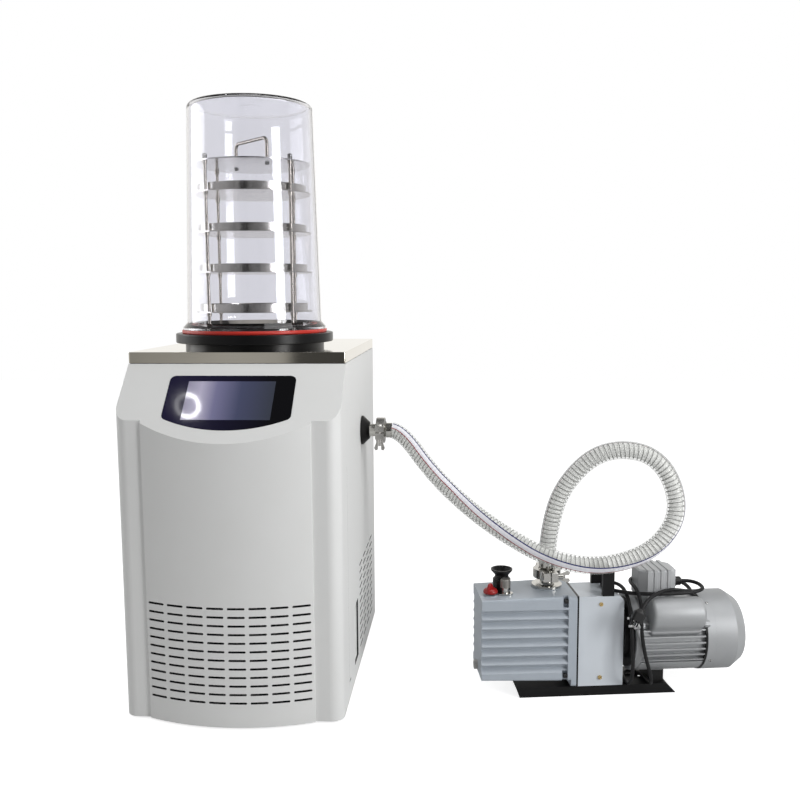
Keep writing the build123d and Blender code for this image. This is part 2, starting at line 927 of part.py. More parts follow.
def hose_adaptor(joint):
    """Flange with a short plain collar that the hose's end butts on."""
    with BuildPart() as adaptor:
        add(flange(joint, face_gap / 2, 1))
        add(
            ring(
                joint,
                [
                    (line_bore, face_gap / 2 + flange_rim),
                    (line_r, face_gap / 2 + flange_rim),
                    (line_r, clamp_w / 2 + 1),
                    (collar_out_r, clamp_w / 2 + 3),
                    (collar_out_r, adaptor_l),
                    (line_bore, adaptor_l),
                ],
            )
        )
    return adaptor.part


with BuildPart() as hose_adaptors:
    add(hose_adaptor(port_joint))
    add(hose_adaptor(intake_joint))
save(hose_adaptors, "hose_adaptors")


def flange_clamp(joint):
    """Hinged clamp: two grooved half rings, a hinge pin behind and a swing bolt in front."""
    groove = flange_r + 0.4
    lip = clamp_lip_r
    half = clamp_w / 2
    shut = face_gap / 2 + flange_rim + 0.3
    with BuildPart() as clamp:
        with BuildSketch(joint.offset(-half)):
            Circle(clamp_r)
            with Locations((clamp_r + lug_out / 2 - 3, 0), (-clamp_r - 1, 0)):
                Rectangle(lug_out + 6, 2 * lug_half)
            Circle(lip, mode=Mode.SUBTRACT)
        extrude(amount=clamp_w)
        chamfer(clamp.faces().filter_by(Axis(joint.origin, joint.z_dir)).edges(), 0.8)
        add(
            ring(
                joint,
                [
                    (0, -shut - flange_slope - 0.5),
                    (lip, -shut - flange_slope - 0.5),
                    (groove, -shut),
                    (groove, shut),
                    (lip, shut + flange_slope + 0.5),
                    (0, shut + flange_slope + 0.5),
                ],
            ),
            mode=Mode.SUBTRACT,
        )
        with BuildSketch(joint.offset(-half)):
            with Locations((clamp_r, 0)):
                Rectangle(2 * clamp_r, clamp_split)
            with Locations((-clamp_r, 0)):
                Rectangle(2 * clamp_r, pane_gap)
        extrude(amount=clamp_w, mode=Mode.SUBTRACT)
        bolt_at = Plane(
            origin=joint.from_local_coords((clamp_r + lug_out / 2, -lug_half - 3, 0)),
            x_dir=joint.x_dir,
            z_dir=joint.y_dir,
        )
        with BuildSketch(bolt_at):
            Circle(bolt_r + 0.4)
        extrude(amount=4 * lug_half, mode=Mode.SUBTRACT)
        with BuildSketch(bolt_at):
            Circle(bolt_r)
        extrude(amount=2 * lug_half + wing_h + 8)
        with BuildSketch(bolt_at):
            RegularPolygon(bolt_r * 2, 6)
        extrude(amount=3)
    return clamp.part


with BuildPart() as flange_clamps:
    add(flange_clamp(port_joint))
    add(flange_clamp(intake_joint))
save(flange_clamps, "flange_clamps")


def wing_nut(joint):
    """Wing nut on the clamp's bolt, its two ears spread away from the lug."""
    seat = Plane(
        origin=joint.from_local_coords((clamp_r + lug_out / 2, lug_half + pane_gap, 0)),
        x_dir=joint.z_dir,
        z_dir=joint.y_dir,
    )
    ear = Plane(origin=seat.origin, x_dir=seat.x_dir, z_dir=-seat.y_dir)
    with BuildPart() as nut:
        with BuildSketch(ear.offset(-1.4)):
            for side in (-1, 1):
                with BuildLine():
                    Polyline(
                        (side * 2, 1),
                        (side * wing_hub_r, 1),
                        (side * (wing_hub_r + 6), 2 * wing_h),
                        (side * (wing_hub_r + 3), 2 * wing_h + 5),
                        (side * (wing_hub_r - 1.5), 2 * wing_h + 3),
                        (side * 3, wing_h),
                        close=True,
                    )
                make_face()
        extrude(amount=2.8)
        with BuildSketch(seat):
            Circle(wing_hub_r)
        extrude(amount=wing_h)
        with BuildSketch(seat):
            Circle(bolt_r + shaft_gap)
        extrude(amount=4 * wing_h, mode=Mode.SUBTRACT)
    return nut.part


for name, joint in (("port_wing_nut", port_joint), ("intake_wing_nut", intake_joint)):
    with BuildPart() as nut:
        add(wing_nut(joint))
    save(nut, name)

# ---------------------------------------------------------------- cooling plant in the cabinet
fan_centre = condenser_h / 2
shroud_t = 1.5


def behind_grille(depth, up=0.0):
    """Upright plane facing back at a depth behind the condenser's middle, its Y pointing up."""
    return Plane(
        origin=(cabinet_x, plate_front_y + condenser_y + depth, pan_top + up),
        x_dir=(-1, 0, 0),
        z_dir=(0, 1, 0),
    )


# Condenser: a finned block on the pan behind the grille, with a sheet shroud round the fan.
with BuildPart() as condenser:
    with BuildSketch(behind_grille(-condenser_d / 2)):
        with Locations((0, condenser_h / 2)):
            Rectangle(condenser_w, condenser_h)
    extrude(amount=condenser_d)
    with BuildSketch(behind_grille(-condenser_d / 2)):
        with Locations((0, condenser_h / 2)):
            with GridLocations(9, condenser_h, int(condenser_w / 9) - 2, 1):
                Rectangle(6.5, condenser_h - 16)
    extrude(amount=condenser_d / 2 - 3, mode=Mode.SUBTRACT)
    with BuildSketch(behind_grille(condenser_d / 2)):
        with Locations((0, condenser_h / 2)):
            Rectangle(condenser_w, condenser_h)
            Circle(fan_r + 3, mode=Mode.SUBTRACT)
    extrude(amount=fan_gap)
    with BuildSketch(behind_grille(condenser_d / 2)):
        with Locations((0, condenser_h / 2)):
            Rectangle(condenser_w - 2 * shroud_t, condenser_h - 2 * shroud_t)
    extrude(amount=fan_gap - shroud_t, mode=Mode.SUBTRACT)
save(condenser, "condenser")

# Axial fan: a hub and pitched blades, on the motor's shaft.
fan_plane = behind_grille(condenser_d / 2 + 3 + fan_d / 2, fan_centre)
blade_root = Plane(
    origin=fan_plane.from_local_coords((fan_hub_r - 3, 0, 0)),
    x_dir=fan_plane.y_dir,
    z_dir=fan_plane.x_dir,
)
with BuildPart() as fan_blade:
    with BuildSketch(blade_root):
        Rectangle(fan_hub_r, 2, rotation=32)
    with BuildSketch(blade_root.offset(fan_r - fan_hub_r)):
        Rectangle(fan_r * 0.5, 1.5, rotation=24)
    loft()
with BuildPart() as condenser_fan:
    with BuildSketch(fan_plane):
        Circle(fan_hub_r)
    extrude(amount=fan_d / 2, both=True)
    for blade in range(fan_blades):
        add(fan_blade.part.rotate(Axis(fan_plane.origin, fan_plane.z_dir), 360 / fan_blades * blade))
    with BuildSketch(fan_plane.offset(-fan_d)):
        Circle(shaft_r / 2 + shaft_gap)
    extrude(amount=2 * fan_d, mode=Mode.SUBTRACT)
save(condenser_fan, "condenser_fan")

# Fan motor on an upright sheet bracket that stands on the pan.
motor_face = fan_plane.offset(fan_d / 2 + 6)
with BuildPart() as fan_motor:
    with BuildSketch(motor_face):
        Circle(fan_motor_r)
    extrude(amount=fan_motor_l)
    fillet(fan_motor.edges().filter_by(GeomType.CIRCLE), 4)
    with BuildSketch(fan_plane.offset(-fan_d / 2)):
        Circle(shaft_r / 2)
    extrude(amount=fan_d + 8)
    with BuildSketch(motor_face.offset(fan_motor_l / 3)):
        with Locations((0, -fan_centre / 2)):
            Rectangle(40, fan_centre)
    extrude(amount=3)
    with BuildSketch(Plane(origin=motor_face.from_local_coords((0, -fan_centre, fan_motor_l / 3)))):
        with Locations((0, 20)):
            Rectangle(60, 40)
    extrude(amount=2)
save(fan_motor, "fan_motor")

# Hermetic compressor: a welded can on a foot plate, with its terminal box.
compressor_place = cabinet.offset(pan_top)
can = Plane(origin=compressor_place.from_local_coords((compressor_x, compressor_y, 0)))
with BuildPart() as compressor:
    with BuildSketch(can.offset(14)):
        Circle(compressor_r)
    extrude(amount=compressor_h - 14)
    fillet(compressor.edges().group_by(Axis.Z)[-1], compressor_r * 0.45)
    fillet(compressor.edges().group_by(Axis.Z)[0], compressor_r * 0.2)
    with BuildSketch(can.offset(compressor_h * 0.55)):
        Circle(compressor_r + 3)
    extrude(amount=5)
    with BuildSketch(can.offset(12)):
        RectangleRounded(2 * compressor_r + 24, 2 * compressor_r - 20, 12)
    extrude(amount=4)
    with BuildSketch(can):
        with GridLocations(2 * compressor_r, 2 * compressor_r - 44, 2, 2):
            Circle(11)
    extrude(amount=12)
    with BuildSketch(can.offset(60)):
        with Locations((compressor_r, 0)):
            Rectangle(36, 50)
    extrude(amount=60)
save(compressor, "compressor")

# Copper circuit: the evaporator's turns round the pot, the discharge, liquid and suction lines.
with BuildPart() as refrigerant_pipes:
    for row in coil_rows:
        if abs(row - port_z) < line_r + coil_tube_r + 1:
            continue
        with BuildSketch(chamber_side):
            with Locations((coil_r, row)):
                Circle(coil_tube_r)
        revolve(axis=Axis(chamber.origin, (0, 0, 1)))
    runs = [
        # discharge: compressor's top to the condenser's upper corner
        [
            (compressor_x, compressor_y, pan_top + compressor_h),
            (compressor_x, compressor_y, pan_top + compressor_h + 30),
            (-condenser_w / 2 + 20, compressor_y, pan_top + compressor_h + 30),
            (-condenser_w / 2 + 20, condenser_y, pan_top + compressor_h + 30),
            (-condenser_w / 2 + 20, condenser_y, pan_top + condenser_h),
        ],
        # liquid: condenser's other top corner, up to the lowest turn of the evaporator
        [
            (coil_r, condenser_y, pan_top + condenser_h),
            (coil_r, condenser_y, pan_top + condenser_h + 55),
            (coil_r, chamber_y, pan_top + condenser_h + 55),
            (coil_r, chamber_y, coil_low),
        ],
        # suction: highest turn, down outside the foam to the compressor
        [
            (0, chamber_y + coil_r, suction_z),
            (0, chamber_y + foam_r + 16, suction_z),
            (0, chamber_y + foam_r + 16, pan_top + compressor_h + 60),
            (compressor_x, chamber_y + foam_r + 16, pan_top + compressor_h + 60),
            (compressor_x, chamber_y + foam_r + 16, pan_top + compressor_h),
        ],
    ]
    for run in runs:
        path = [cabinet.from_local_coords(point) for point in run]
        with BuildLine():
            FilletPolyline(*path, radius=12)
        with BuildSketch(Plane(origin=path[0], z_dir=path[1] - path[0])):
            Circle(pipe_r)
        sweep()
save(refrigerant_pipes, "refrigerant_pipes")

# Main control board on stand-offs on the left panel, in one node with the display's board.
board_w, board_h, board_t, board_stand = 170.0, 120.0, 1.6, 12.0
board_wall = Plane(
    origin=(cabinet_x - post_half, plate_front_y + 150, 420), x_dir=(0, 1, 0), z_dir=(1, 0, 0)
)
with BuildPart() as control_board:
    with BuildSketch(board_wall.offset(board_stand)):
        Rectangle(board_w, board_h)
    extrude(amount=board_t)
    with BuildSketch(board_wall):
        with GridLocations(board_w - 12, board_h - 12, 2, 2):
            Circle(3.5)
    extrude(amount=board_stand)
    with BuildSketch(board_wall.offset(board_stand + board_t)):
        with Locations((-45, 20)):
            Rectangle(46, 38)
        with Locations((40, -25)):
            Rectangle(28, 28)
        with GridLocations(24, 1, 5, 1):
            with Locations((0, -50)):
                Rectangle(18, 10)
    extrude(amount=14)
with BuildPart() as control_boards:
    add(display_module.part)
    add(control_board.part)
save(control_boards, "control_boards")

# ---------------------------------------------------------------- rear panel fittings
inlet_face = rear_wall.offset(inlet_stand)
rocker_w, rocker_h = 18.0, 20.0
rocker_mid = inlet_h / 2 - rocker_h / 2 - 5
with BuildPart() as power_inlet:
    with BuildSketch(rear_wall):
        with Locations((-inlet_x, inlet_z)):
            RectangleRounded(inlet_w + 8, inlet_h + 8, 3)
    extrude(amount=inlet_stand)
    with BuildSketch(rear_wall):
        with Locations((-inlet_x, inlet_z)):
            Rectangle(inlet_w, inlet_h)
    extrude(amount=-22)
    with BuildSketch(inlet_face):
        with Locations((-inlet_x, inlet_z + rocker_mid)):
            Rectangle(rocker_w + 2 * pane_gap, rocker_h + 2 * pane_gap)
    extrude(amount=-14, mode=Mode.SUBTRACT)
    with BuildSketch(inlet_face):
        with Locations((-inlet_x, inlet_z - 12)):
            RectangleRounded(24, 17, 3)
    extrude(amount=-17, mode=Mode.SUBTRACT)
    with BuildSketch(inlet_face.offset(-17)):
        with Locations((-inlet_x, inlet_z - 12)):
            with Locations((0, 3), (-7, -3), (7, -3)):
                Rectangle(2, 4)
    extrude(amount=12)
save(power_inlet, "power_inlet")

# Rocker of the power switch: two faces at an angle, turning on a pivot in the inlet's housing.
rocker_pivot = Plane(
    origin=inlet_face.from_local_coords((-inlet_x, inlet_z + rocker_mid, -4)),
    x_dir=(0, 1, 0),
    z_dir=(1, 0, 0),
)
with BuildPart() as power_rocker:
    with BuildSketch(rocker_pivot.offset(-rocker_w / 2)):
        Polygon(
            (3.5, 0),
            (5, rocker_h / 2 - 1.5),
            (-2, rocker_h / 2 - 2.5),
            (-5, 0),
            (-2, -rocker_h / 2 + 2.5),
            (5, -rocker_h / 2 + 1.5),
            rotation=rocker_turn,
            align=None,
        )
    extrude(amount=rocker_w)
save(power_rocker, "power_rocker")

# Drain cock: brass body through the rear panel, a hose nose below and a quarter-turn lever.
drain_at = Plane(
    origin=rear_wall.from_local_coords((-drain_x, drain_z, 0)), x_dir=(-1, 0, 0), z_dir=(0, 1, 0)
)
drain_l = 26.0
with BuildPart() as drain_valve:
    with BuildSketch(drain_at.offset(-20)):
        Circle(drain_r)
    extrude(amount=20)
    with BuildSketch(drain_at):
        RegularPolygon(drain_r + 4, 6)
    extrude(amount=6)
    with BuildSketch(drain_at.offset(6)):
        Circle(drain_r)
    extrude(amount=drain_l - 6)
    with BuildSketch(drain_at.offset(drain_l)):
        Circle(drain_r * 0.6)
    extrude(amount=16)
    with BuildSketch(drain_at.offset(-20)):
        Circle(drain_r * 0.4)
    extrude(amount=drain_l + 36, mode=Mode.SUBTRACT)
    with BuildSketch(Plane(origin=drain_at.from_local_coords((0, 0, 16)))):
        Circle(4)
    extrude(amount=drain_r + 8)
    with BuildSketch(Plane(origin=drain_at.from_local_coords((0, 0, 16)))):
        Circle(drain_r * 0.4)
    extrude(amount=drain_r, mode=Mode.SUBTRACT)
save(drain_valve, "drain_valve")

lever_low = drain_r + 2.0
with BuildPart() as drain_lever:
    with BuildSketch(Plane(origin=drain_at.from_local_coords((0, lever_low, 16)))):
        with Locations((0, 14)):
            SlotOverall(40, 10, rotation=90)
        Circle(4 + shaft_gap, mode=Mode.SUBTRACT)
    extrude(amount=4)
save(drain_lever, "drain_lever")

# ---------------------------------------------------------------- vacuum pump: base and pump end
rail_back = 2 * pump_mid


# Two steel angles, flanges turned inwards, joined by welded cross plates.
with BuildPart() as pump_rails:
    with BuildSketch(facing_front(0, 0, 0)):
        with BuildLine():
            Polyline(
                (0, 0),
                (rail_l, 0),
                (rail_l - rail_lean_right, rail_h),
                (-rail_lean_left, rail_h),
                close=True,
            )
        make_face()
    extrude(amount=-rail_back)
    with BuildSketch(pump):
        with Locations((rail_l / 2, pump_mid)):
            Rectangle(2 * rail_l, rail_back - 2 * rail_t)
    extrude(amount=rail_h - rail_t, mode=Mode.SUBTRACT)
    with BuildSketch(pump):
        with Locations((rail_l / 2, pump_mid)):
            Rectangle(2 * rail_l, rail_gap)
    extrude(amount=rail_h, mode=Mode.SUBTRACT)
    with BuildSketch(pump.offset(rail_h - 2 * rail_t)):
        for place in (50, rail_l - 75):
            with Locations((place, pump_mid)):
                Rectangle(30, rail_back - 2 * rail_t)
    extrude(amount=rail_t)
save(pump_rails, "pump_rails")

# Oil box: a drafted aluminium casting with saw-tooth cooling fins on both sides.
box_mid = (box_top + box_bottom) / 2


def seat_z(x):
    """Height of a flat machined pad on the box's sloping top."""
    return box_top - (plate_start - x) * tan(radians(box_draft)) + pad_rise


box_ports = [
    (intake_x, intake_y, intake_r + 1, line_r + fit_gap),
    (exhaust_x, exhaust_y, 18.5, 9),
    (filler_x, filler_y, filler_r + 1, filler_spigot + shaft_gap),
]


def leftward(along, back, up, splay=0):
    """Plane facing the oil box's far end, its Y up; splay swings it round for the draft."""
    turn = radians(splay)
    return Plane(
        origin=pump.from_local_coords((along, back, up)),
        x_dir=pump.x_dir * sin(turn) - pump.y_dir * cos(turn),
        z_dir=pump.x_dir * -cos(turn) - pump.y_dir * sin(turn),
    )


def box_block(inset):
    """Drafted block of the oil box, drawn in from its faces, from the pump plate outwards."""
    with BuildPart() as block:
        with BuildSketch(leftward(plate_start, pump_mid, box_mid)):
            RectangleRounded(box_w - 2 * inset, box_top - box_bottom - 2 * inset, 7 - inset / 2)
        extrude(amount=plate_start - box_start - inset, taper=box_draft)
    return block.part


with BuildPart() as oil_box:
    add(box_block(0))
    for side in (-1, 1):
        with BuildSketch(leftward(plate_start, pump_mid + side * box_w / 2, 0, side * box_draft)):
            for fin in range(fin_count):
                top = fin_top - fin * fin_pitch
                Polygon(
                    (-side * 2, top),
                    (side * fin_deep, top - 1),
                    (side * fin_deep, top - fin_pitch * 0.45),
                    (-side * 2, top - fin_pitch - 0.6),
                    align=None,
                )
        extrude(amount=2 * (plate_start - box_start), mode=Mode.SUBTRACT)
        with BuildSketch(leftward(plate_start, pump_mid + side * box_w / 2, box_mid)):
            with Locations((side * (box_wall + fin_deep + 0.6) / 2, 0)):
                Rectangle(box_wall + fin_deep, box_top - box_bottom - 24)
        extrude(amount=box_rim)
        with BuildSketch(leftward(plate_start - box_rim, pump_mid + side * box_w / 2, box_mid)):
            for height in (box_top - box_mid, box_bottom - box_mid):
                with Locations((side * pocket / 2, height)):
                    Rectangle(pocket, 2 * pocket_high)
        extrude(amount=pocket, mode=Mode.SUBTRACT)
    add(box_block(box_wall + fin_deep * 0.75), mode=Mode.SUBTRACT)
    for x, y, pad, hole in box_ports:
        with BuildSketch(pump.offset(box_end_top - 4)):
            with Locations((x, y)):
                Circle(pad)
        extrude(amount=seat_z(x) - box_end_top + 4)
        with BuildSketch(pump.offset(box_end_top - 4)):
            with Locations((x, y)):
                Circle(hole)
        extrude(amount=40, both=True, mode=Mode.SUBTRACT)
    with BuildSketch(leftward(plate_start - box_rim - 1, pump_mid, box_mid)):
        with GridLocations(box_w - 11, box_bolts, 2, 2):
            Circle(2.6)
    extrude(amount=-box_rim - 2, mode=Mode.SUBTRACT)
    with BuildSketch(leftward(box_start + 20, pump_mid, plug_z)):
        Circle(5)
    extrude(amount=40, mode=Mode.SUBTRACT)
save(oil_box, "oil_box")

# Four socket bolts into the pump's plate, and the drain plug low on the far end.
with BuildPart() as oil_box_screws:
    with BuildSketch(leftward(plate_start - box_rim, pump_mid, box_mid)):
        with GridLocations(box_w - 11, box_bolts, 2, 2):
            Circle(box_bolt_r)
            RegularPolygon(box_bolt_r * 0.55, 6, mode=Mode.SUBTRACT)
    extrude(amount=7)
    with BuildSketch(leftward(plate_start - box_rim, pump_mid, box_mid)):
        with GridLocations(box_w - 11, box_bolts, 2, 2):
            Circle(2.5)
    extrude(amount=-9)
    with BuildSketch(leftward(box_start, pump_mid, plug_z)):
        RegularPolygon(9, 6)
    extrude(amount=7)
    with BuildSketch(leftward(box_start, pump_mid, plug_z)):
        Circle(4.9)
    extrude(amount=-12)
save(oil_box_screws, "oil_box_screws")

# Pump block: end plate and stator with an eccentric bore, a rotor chamber closed at its far end.
with BuildPart() as pump_block:
    with BuildSketch(across(plate_start, up=block_mid)):
        RectangleRounded(block_w, block_h, 5)
    extrude(amount=plate_end - plate_start)
    with BuildSketch(across(plate_start)):
        Circle(stator_r)
    extrude(amount=-rotor_l - 10)
    with BuildSketch(pump.offset(shaft_z)):
        with Locations((intake_x, intake_y)):
            Circle(line_r + 2)
    extrude(amount=boss_top - shaft_z)
    with BuildSketch(pump.offset(shaft_z + rotor_r / 2)):
        with Locations((intake_x, intake_y)):
            Circle(line_bore - 2)
    extrude(amount=boss_top, mode=Mode.SUBTRACT)
    with BuildSketch(across(plate_start, up=shaft_z - rotor_offset)):
        Circle(stator_bore)
    extrude(amount=-rotor_l, mode=Mode.SUBTRACT)
    with BuildSketch(across(plate_end)):
        Circle(shaft_r + shaft_gap)
    extrude(amount=-rotor_l - 18, mode=Mode.SUBTRACT)
    with BuildSketch(across(plate_start, up=box_mid)):
        with GridLocations(box_w - 11, box_bolts, 2, 2):
            Circle(2.5)
    extrude(amount=6, mode=Mode.SUBTRACT)
save(pump_block, "pump_block")


def coupling_half(start, way):
    """Half of the claw coupling: a hub on the shaft, its three claws towards the other half."""
    with BuildPart() as half:
        with BuildSketch(across(start)):
            Circle(hub_r)
        extrude(amount=way * hub_l / 3)
        with BuildSketch(across(start + way * hub_l / 3)):
            for claw in range(3):
                turn = radians(120 * claw + (90 if way > 0 else 150))
                Polygon(
                    (0, 0),
                    (2 * hub_r * cos(turn - claw_half), 2 * hub_r * sin(turn - claw_half)),
                    (2 * hub_r * cos(turn + claw_half), 2 * hub_r * sin(turn + claw_half)),
                    align=None,
                )
            Circle(hub_r, mode=Mode.INTERSECT)
            Circle(shaft_r + 2, mode=Mode.SUBTRACT)
        extrude(amount=way * hub_l / 3)
    return half.part


# Rotor with its vanes drawn in, shaft and half of the coupling: one turning piece.
with BuildPart() as pump_rotor:
    with BuildSketch(across(plate_start - turn_gap)):
        Circle(rotor_r)
    extrude(amount=-rotor_l + 2 * turn_gap)
    with BuildSketch(across(plate_start)):
        with Locations((0, rotor_r - 6), (0, 6 - rotor_r)):
            Rectangle(vane_w, 13)
    extrude(amount=-rotor_l, mode=Mode.SUBTRACT)
    with BuildSketch(across(plate_start - turn_gap)):
        with Locations((0, rotor_r - 7.5), (0, 7.5 - rotor_r)):
            Rectangle(vane_w - 0.1, 12)
    extrude(amount=-rotor_l + 2 * turn_gap)
    with BuildSketch(across(plate_start - rotor_l - 7)):
        Circle(shaft_r)
    extrude(amount=hub_mid - hub_l / 6 - plate_start + rotor_l + 7)
    add(coupling_half(hub_mid - hub_l / 2, 1))
save(pump_rotor, "pump_rotor")

# Coupling housing: plate, web and foot inside the cover, bell, and the motor's flange.
web_w = rail_back - 2 * (cover_t + pane_gap)
web_top = cover_top - cover_t - fit_gap
with BuildPart() as coupling_housing:
    with BuildSketch(across(plate_end, up=(cover_top + rail_h) / 2)):
        Rectangle(rail_back, cover_top - rail_h)
    extrude(amount=housing_t)
    with BuildSketch(across(web_x - 7, up=(web_top + rail_h) / 2)):
        Rectangle(web_w, web_top - rail_h)
    extrude(amount=14)
    with BuildSketch(across(web_x - 28, up=(shaft_z + rail_h) / 2)):
        Rectangle(web_w, shaft_z - rail_h)
    extrude(amount=56)
    with BuildSketch(across(plate_end)):
        Circle(housing_r)
    extrude(amount=bell_start - plate_end)
    with BuildSketch(across(bell_start)):
        Circle(bell_r)
    extrude(amount=bell_l)
    with BuildSketch(across(bell_start + bell_l)):
        Circle(motor_skin)
    extrude(amount=motor_start - shield_t - bell_start - bell_l)
    with BuildSketch(across(plate_end + 2 * housing_t)):
        Circle(housing_bore)
    extrude(amount=motor_start, mode=Mode.SUBTRACT)
    with BuildSketch(across(plate_end)):
        Circle(shaft_r + 1)
    extrude(amount=motor_start, mode=Mode.SUBTRACT)
    for height in cover_bolts:
        with BuildSketch(facing_front(web_x, 0, height)):
            Circle(cover_bolt_r)
        extrude(amount=-12, mode=Mode.SUBTRACT)
        with BuildSketch(facing_front(web_x, rail_back, height)):
            Circle(cover_bolt_r)
        extrude(amount=12, mode=Mode.SUBTRACT)
save(coupling_housing, "coupling_housing")

# Sheet cover over the coupling, open below and towards the pump.
with BuildPart() as housing_cover:
    with BuildSketch(facing_front(0, 0, 0)) as cover_side:
        with Locations(((cover_start + cover_end) / 2, (cover_top + rail_h) / 2)):
            Rectangle(cover_end - cover_start, cover_top - rail_h)
        fillet(cover_side.vertices().group_by(Axis.Y)[-1].sort_by(Axis.X)[-1], cover_round)
    extrude(amount=-rail_back)
    with BuildSketch(facing_front(0, cover_t, 0)) as cover_room:
        with Locations(((cover_start + cover_end) / 2 - 2 * cover_t, cover_top / 2)):
            Rectangle(cover_end - cover_start + 2 * cover_t, cover_top - 2 * cover_t)
        fillet(
            cover_room.vertices().group_by(Axis.Y)[-1].sort_by(Axis.X)[-1], cover_round - cover_t
        )
    extrude(amount=2 * cover_t - rail_back, mode=Mode.SUBTRACT)
    with BuildSketch(across(cover_end - 2 * cover_t)):
        Circle(housing_r + fit_gap)
    extrude(amount=4 * cover_t, mode=Mode.SUBTRACT)
    with BuildSketch(facing_front(web_x, -1, 0)):
        for height in cover_bolts:
            with Locations((0, height)):
                Circle(cover_bolt_r)
    extrude(amount=-rail_back - 2, mode=Mode.SUBTRACT)
save(housing_cover, "housing_cover")

with BuildPart() as cover_screws:
    for back, out in ((0, 1), (rail_back, -1)):
        for height in cover_bolts:
            face = facing_front(web_x, back, height)
            with BuildSketch(face):
                Circle(cover_bolt_r)
            extrude(amount=-out * 11)
            with BuildSketch(face):
                Circle(2 * cover_bolt_r)
            extrude(amount=out * 2.2)
            with BuildSketch(face.offset(out * 1.2)):
                Rectangle(5 * cover_bolt_r, 1, rotation=40)
            extrude(amount=out * 2, mode=Mode.SUBTRACT)
save(cover_screws, "cover_screws")

# Carrying handle: a square strap bent up over the cover from front to back.
with BuildPart() as carry_handle:
    with BuildSketch(across(handle_mid - handle_w / 2, up=cover_top)) as strap:
        with Locations((0, (handle_top - cover_top) / 2)):
            Rectangle(handle_span + handle_t, handle_top - cover_top)
        fillet(strap.vertices().group_by(Axis.Y)[-1], handle_t / 2)
        with Locations((0, (handle_top - cover_top - handle_t) / 2)):
            Rectangle(handle_span - handle_t, handle_top - cover_top - handle_t, mode=Mode.SUBTRACT)
    extrude(amount=handle_w)
save(carry_handle, "carry_handle")

# ---------------------------------------------------------------- vacuum pump: fittings on top
intake_seat = seat_z(intake_x)
ballast_foot = seat_z(ballast_x) - pad_rise + fit_gap
with BuildPart() as intake_port:
    add(
        ring(
            intake,
            [
                (line_bore, boss_top),
                (line_r, boss_top),
                (line_r, intake_seat),
                (intake_r, intake_seat),
                (intake_r, intake_seat + intake_t),
                (line_r + 3, intake_seat + intake_t),
                (line_r, intake_seat + 2 * intake_t),
                (line_r, intake_face - flange_rim),
                (line_bore, intake_face - flange_rim),
            ],
        )
    )
    add(flange(intake, intake_face, -1))
    with BuildSketch(on_pump(ballast_x, ballast_y, ballast_foot)):
        SlotOverall(29, 18)
    extrude(amount=3)
    with BuildSketch(on_pump(ballast_x, ballast_y, ballast_foot)):
        Circle(ballast_r - 3)
    extrude(amount=ballast_seat - ballast_foot - body_gap)
    with BuildSketch(on_pump(ballast_x, ballast_y, ballast_seat)):
        Circle(ballast_pin_r + shaft_gap)
    extrude(amount=-ballast_pin - body_gap, mode=Mode.SUBTRACT)
save(intake_port, "intake_port")

with BuildPart() as exhaust_port:
    exhaust_seat = seat_z(exhaust_x)
    add(
        ring(
            on_pump(exhaust_x, exhaust_y, exhaust_seat),
            [
                (9, 0),
                (17, 0),
                (17, exhaust_h * 0.52),
                (13, exhaust_h * 0.62),
                (13, exhaust_h * 0.72),
                (exhaust_mouth, exhaust_h * 0.93),
                (exhaust_mouth, exhaust_h),
                (exhaust_mouth - 2.5, exhaust_h),
                (11, exhaust_h * 0.74),
                (9, exhaust_h * 0.66),
            ],
        )
    )
save(exhaust_port, "exhaust_port")

filler_base = seat_z(filler_x) + body_gap
with BuildPart() as filler_cap:
    with BuildSketch(on_pump(filler_x, filler_y, filler_base)):
        Circle(filler_r)
    extrude(amount=9)
    chamfer(filler_cap.edges().group_by(Axis.Z)[-1], 2)
    with BuildSketch(on_pump(filler_x, filler_y, filler_base + 8)):
        RectangleRounded(2 * filler_r - 3, 9, 3)
    extrude(amount=filler_top - filler_base - 8, taper=9)
    with BuildSketch(on_pump(filler_x, filler_y, filler_base)):
        Circle(filler_spigot)
    extrude(amount=-12)
save(filler_cap, "filler_cap")

with BuildPart() as ballast_knob:
    with BuildSketch(on_pump(ballast_x, ballast_y, ballast_seat)):
        Circle(ballast_r)
    extrude(amount=ballast_top - ballast_seat)
    chamfer(ballast_knob.edges().group_by(Axis.Z)[-1], 1.2)
    with BuildSketch(on_pump(ballast_x, ballast_y, ballast_seat)):
        Circle(ballast_pin_r)
    extrude(amount=-ballast_pin)
save(ballast_knob, "ballast_knob")

# ---------------------------------------------------------------- motor
# Finned aluminium body with the stator core inside, a pad on top and a foot below.
motor_l = motor_end - motor_start
core_inset = 24.0
with BuildPart() as motor_body:
    with BuildSketch(across(motor_start)):
        with GridLocations(1, motor_fin_pitch, 1, motor_fins):
            Rectangle(2 * motor_r, 3)
        with Locations((0, -motor_r * 0.8)):
            Rectangle(2 * motor_r, motor_r * 0.5)
        Circle(motor_r, mode=Mode.INTERSECT)
        Circle(motor_skin)
    extrude(amount=motor_l)
    with BuildSketch(on_pump((term_start + term_end) / 2, pump_mid, shaft_z)):
        Rectangle(term_end - term_start - 10, 2 * term_half - 10)
    extrude(amount=term_low - shaft_z)
    with BuildSketch(on_pump(motor_foot_x, pump_mid, rail_h)):
        Rectangle(motor_foot_l, 2 * term_half)
    extrude(amount=shaft_z - rail_h)
    with BuildSketch(across(motor_start)):
        Circle(motor_bore)
    extrude(amount=motor_l, mode=Mode.SUBTRACT)
    with BuildSketch(across(motor_start + core_inset)):
        Circle(motor_bore + 1)
        Circle(core_r + core_gap, mode=Mode.SUBTRACT)
    extrude(amount=motor_l - 2 * core_inset)
save(motor_body, "motor_body")

